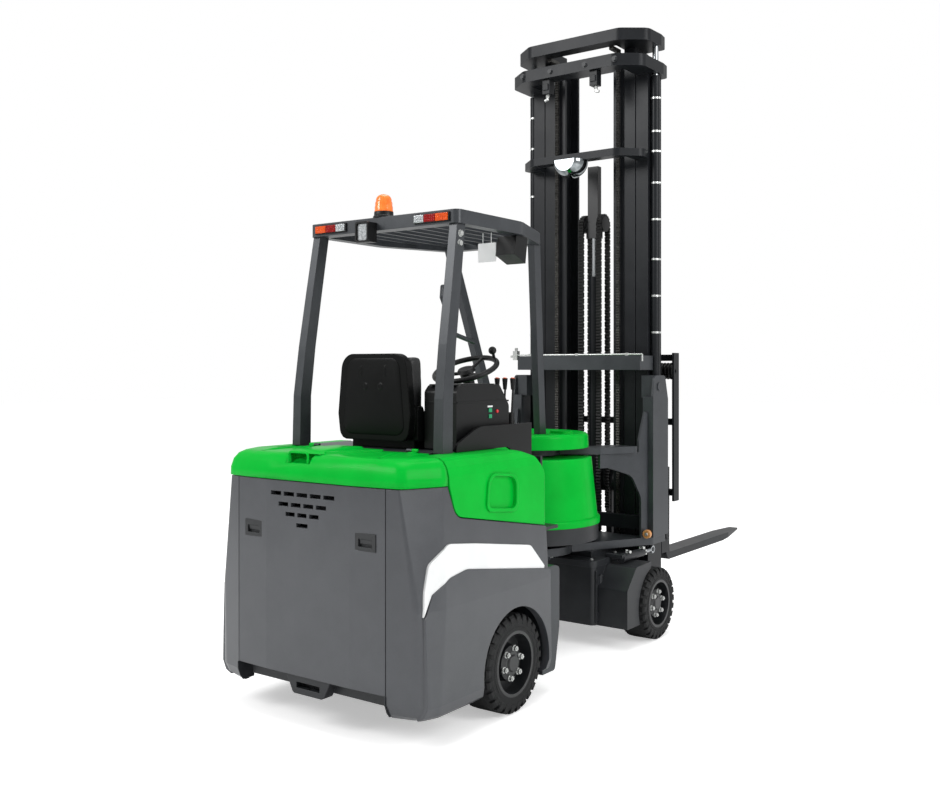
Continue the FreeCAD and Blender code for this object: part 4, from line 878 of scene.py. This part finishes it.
def point_along(route, lengths, distance):
    # the place at a distance along a route, given the length up to each of its points
    distance = min(max(distance, 0.0), lengths[-1])
    for k in range(len(lengths) - 1):
        if distance <= lengths[k + 1]:
            share = (distance - lengths[k]) / max(lengths[k + 1] - lengths[k], 1e-6)
            return route[k].lerp(route[k + 1], share)
    return route[-1]


def chain(route, pitch, plates, thick, height):
    # links along a route of points in millimetres; even and odd links take turns across the width
    lengths = [0.0]
    for a, b in zip(route, route[1:]):
        lengths.append(lengths[-1] + (b - a).length)
    bm = bmesh.new()
    across = Vector((1, 0, 0))
    half_length = pitch / 2 + height * 0.42
    outline = [(u * half_length, v * height / 2) for u, v in LINK_PLATE]
    reach = plates * thick
    for i in range(int(lengths[-1] / pitch)):
        a = point_along(route, lengths, i * pitch)
        b = point_along(route, lengths, (i + 1) * pitch)
        run = (b - a).normalized()
        middle = (a + b) / 2
        first = -(plates * 2 - 1) / 2 + (i % 2)
        for k in range(plates):
            offset = (first + 2 * k) * thick
            add_plate(bm, outline, thick * 0.86, at(*(middle + across * offset)), run, across.cross(run))
        add_rod(bm, a - across * reach, a + across * reach, height * 0.17, 6)
    return bm


def lift_chain(side, label):
    x = side * LIFT_CHAIN_X
    y = LIFT_CHAIN_Y
    bm = chain([Vector((x, y, LIFT_CHAIN_BOTTOM)), Vector((x, y, LIFT_CHAIN_TOP))], **LIFT_LINK)
    add_box(bm, (x - 14, y - 90, LIFT_CHAIN_TOP + 14), (x + 14, y + 10, LIFT_CHAIN_TOP + 34))
    add_rod(bm, (x, y, LIFT_CHAIN_TOP - 10), (x, y, LIFT_CHAIN_TOP + 34), 9, 16)
    add_box(bm, (x - 13, y - 8, LIFT_CHAIN_TOP - 22), (x + 13, y + 8, LIFT_CHAIN_TOP))
    return piece("lift_chain_" + label, bm, chain_steel, "mast_middle", smooth=30)


def free_chain(side, label):
    x = side * FREE_CHAIN_X
    route = [Vector((x, SHEAVE_Y - SHEAVE_RADIUS, 424)), Vector((x, SHEAVE_Y - SHEAVE_RADIUS, SHEAVE_Z))]
    for i in range(1, SHEAVE_STEPS + 1):
        a = math.radians(180 - 180 / SHEAVE_STEPS * i)
        route.append(Vector((x, SHEAVE_Y + SHEAVE_RADIUS * math.cos(a),
                             SHEAVE_Z + SHEAVE_RADIUS * math.sin(a))))
    route.append(Vector((x, SHEAVE_Y + SHEAVE_RADIUS, 644)))
    return piece("free_chain_" + label, chain(route, **FREE_LINK), chain_black, "free_piston", smooth=30)


left_lift_chain = lift_chain(-1, "left")
left_free_chain = free_chain(-1, "left")
lift_chain(1, "right")
free_chain(1, "right")
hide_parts("lift_chains")
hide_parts("free_lift_chains")

# Mast fittings: cast valve blocks bolted under the outer tie, with zinc plated unions, and a row of
# zinc plated bands clamped round each lift cylinder.
VALVE_X = 165
VALVE_Y = 1540
LIFT_X = 432
LIFT_Y = 1800
BAND_Z = (3180, 2980, 2860, 2670, 2450, 2210, 1990, 1770)
blocks = bmesh.new()
unions = bmesh.new()
bands = bmesh.new()
for side in (-1, 1):
    x = side * VALVE_X
    add_box(blocks, (x - 26, VALVE_Y - 28, 3240), (x + 26, VALVE_Y + 26, 3328.7))
    add_box(blocks, (x - 18, VALVE_Y - 36, 3262), (x + 18, VALVE_Y - 26, 3300))
    add_rod(unions, (x + side * 4, VALVE_Y, 3240), (x + side * 4, VALVE_Y, 3222), 11, 6)
    add_rod(unions, (x + side * 4, VALVE_Y, 3224), (x + side * 4, VALVE_Y, 3206), 8, 14)
    add_rod(unions, (x + side * 2, VALVE_Y, 3211), (x + side * 24, VALVE_Y + 2, 3206), 9, 6)
    x = side * LIFT_X
    for z in BAND_Z:
        add_rod(bands, (x, LIFT_Y, z - 6), (x, LIFT_Y, z + 6), 27.0, 28)
        add_box(bands, (side * (LIFT_X + 29) - 4, LIFT_Y - 3, z - 6),
                (side * (LIFT_X + 29) + 4, LIFT_Y + 11, z + 6))
piece("mast_valve_blocks", blocks, mast_paint, "mast_outer", 2)
piece("mast_fittings", unions, zinc, "mast_outer", 0.8)
piece("cylinder_bands", bands, zinc, "mast_outer", 0.8)

# Sheave and mirror: a grooved black moulded sheave turns on a pin at the right of the backrest, and a
# silvered half dome of glass hangs under the mast's lower tie.
MIRROR_PATCH_MM = 30
GROOVES = 4
GROOVE_PITCH = 22
SHEAVE_LEFT = 356
SHEAVE_PIN = (2040, 1537)
bm = bmesh.new()
for k in range(GROOVES):
    x = SHEAVE_LEFT + k * GROOVE_PITCH
    add_rod(bm, (x, *SHEAVE_PIN), (x + 6, *SHEAVE_PIN), 52, 36)
    add_rod(bm, (x + 6, *SHEAVE_PIN), (x + GROOVE_PITCH, *SHEAVE_PIN), 42, 36)
add_rod(bm, (SHEAVE_LEFT - 16, *SHEAVE_PIN), (SHEAVE_LEFT + 96, *SHEAVE_PIN), 12, 20)
piece("hose_sheave", bm, black_plastic, "side_shifter", 1.5)
# silvered glass: a sharp mirror in soft grey patches
mirror = surface("mirror_glass_polished", "#A4AAAC", 0.05, metal=1.0, dark="#6E7476",
                 patch_mm=MIRROR_PATCH_MM, grain=0.0, rough_swing=0.01)
dress("dome_mirror", mirror)

# Studio: a pale matte floor that glows a little for the camera, an even white surround, and three soft
# area lights. The camera stands where the photograph's stood, with the same lens and shift.
FLOOR_HALF = 40
FLOOR_GLOW = 0.42
AMBIENT = 0.62
PICTURE_WIDTH = 940
PICTURE_MIDDLE = (470, 394)
AIM_PIXEL = (471.2, 368.4)
FOCAL_PIXELS = 1025.8
SENSOR_WIDTH = 36
CAMERA_X = 3.171
CAMERA_Y = -3.854
CAMERA_Z = 1.5535
VIEW_ANGLE = math.radians(36.03)
floor_mesh = bpy.data.meshes.new("floor")
floor_mesh.from_pydata([(-FLOOR_HALF, -FLOOR_HALF, 0), (FLOOR_HALF, -FLOOR_HALF, 0),
                        (FLOOR_HALF, FLOOR_HALF, 0), (-FLOOR_HALF, FLOOR_HALF, 0)], [], [(0, 1, 2, 3)])
floor = bpy.data.objects.new("floor", floor_mesh)
bpy.context.scene.collection.objects.link(floor)
# matte painted board: plain white
floor_paint = bpy.data.materials.new("pale_floor")
floor_paint.use_nodes = True
tree = floor_paint.node_tree
board = tree.nodes["Principled BSDF"]
board.inputs["Base Color"].default_value = linear("#FBFBFB")
board.inputs["Roughness"].default_value = 0.9
board.inputs["Specular IOR Level"].default_value = 0.1
glow = add(tree, "ShaderNodeEmission", None, {"Color": linear("#FFFFFF"), "Strength": FLOOR_GLOW})
nothing = add(tree, "ShaderNodeEmission", None, {"Color": linear("#000000"), "Strength": 0.0})
to_camera = add(tree, "ShaderNodeLightPath").outputs["Is Camera Ray"]
lift = add(tree, "ShaderNodeMixShader", None, None,
           {0: to_camera, 1: nothing.outputs[0], 2: glow.outputs[0]})
total = add(tree, "ShaderNodeAddShader", None, None, {0: board.outputs[0], 1: lift.outputs[0]})
tree.links.new(total.outputs[0], tree.nodes["Material Output"].inputs["Surface"])
floor.data.materials.append(floor_paint)

world = bpy.data.worlds.new("studio")
bpy.context.scene.world = world
world.use_nodes = True
tree = world.node_tree
tree.nodes.clear()
ambient = add(tree, "ShaderNodeBackground", None, {"Color": linear("#FFFFFF"), "Strength": AMBIENT})
backdrop = add(tree, "ShaderNodeBackground", None, {"Color": linear("#FFFFFF"), "Strength": 1.0})
seen = add(tree, "ShaderNodeLightPath").outputs["Is Camera Ray"]
shown = add(tree, "ShaderNodeMixShader", None, None,
            {0: seen, 1: ambient.outputs[0], 2: backdrop.outputs[0]})
add(tree, "ShaderNodeOutputWorld", None, None, {"Surface": shown.outputs[0]})


def area_light(name, place, aim, size, power):
    data = bpy.data.lights.new(name, "AREA")
    data.shape = "RECTANGLE"
    data.size, data.size_y = size
    data.energy = power
    lamp = bpy.data.objects.new(name, data)
    bpy.context.scene.collection.objects.link(lamp)
    lamp.location = place
    lamp.rotation_euler = (Vector(aim) - Vector(place)).to_track_quat("-Z", "Y").to_euler()


area_light("key", (-3.5, -6.5, 5.5), (0, -0.5, 1.2), (3, 3), 260)
area_light("side", (6.5, -1.0, 4.0), (0, 0, 1.2), (3, 4), 200)
area_light("top", (0, 0, 8.0), (0, 0, 0), (5, 6), 260)

camera_data = bpy.data.cameras.new("camera")
camera = bpy.data.objects.new("camera", camera_data)
bpy.context.scene.collection.objects.link(camera)
bpy.context.scene.camera = camera
forward = Vector((-math.sin(VIEW_ANGLE), math.cos(VIEW_ANGLE), 0))
camera.location = (CAMERA_X, CAMERA_Y - ORIGIN_Y / 1000, CAMERA_Z)
camera.rotation_euler = forward.to_track_quat("-Z", "Y").to_euler()
camera_data.sensor_width = SENSOR_WIDTH
camera_data.lens = FOCAL_PIXELS / PICTURE_WIDTH * SENSOR_WIDTH
camera_data.shift_x = (PICTURE_MIDDLE[0] - AIM_PIXEL[0]) / PICTURE_WIDTH
camera_data.shift_y = -(PICTURE_MIDDLE[1] - AIM_PIXEL[1]) / PICTURE_WIDTH
camera_data.clip_end = 100
bpy.context.scene.view_settings.view_transform = "Standard"
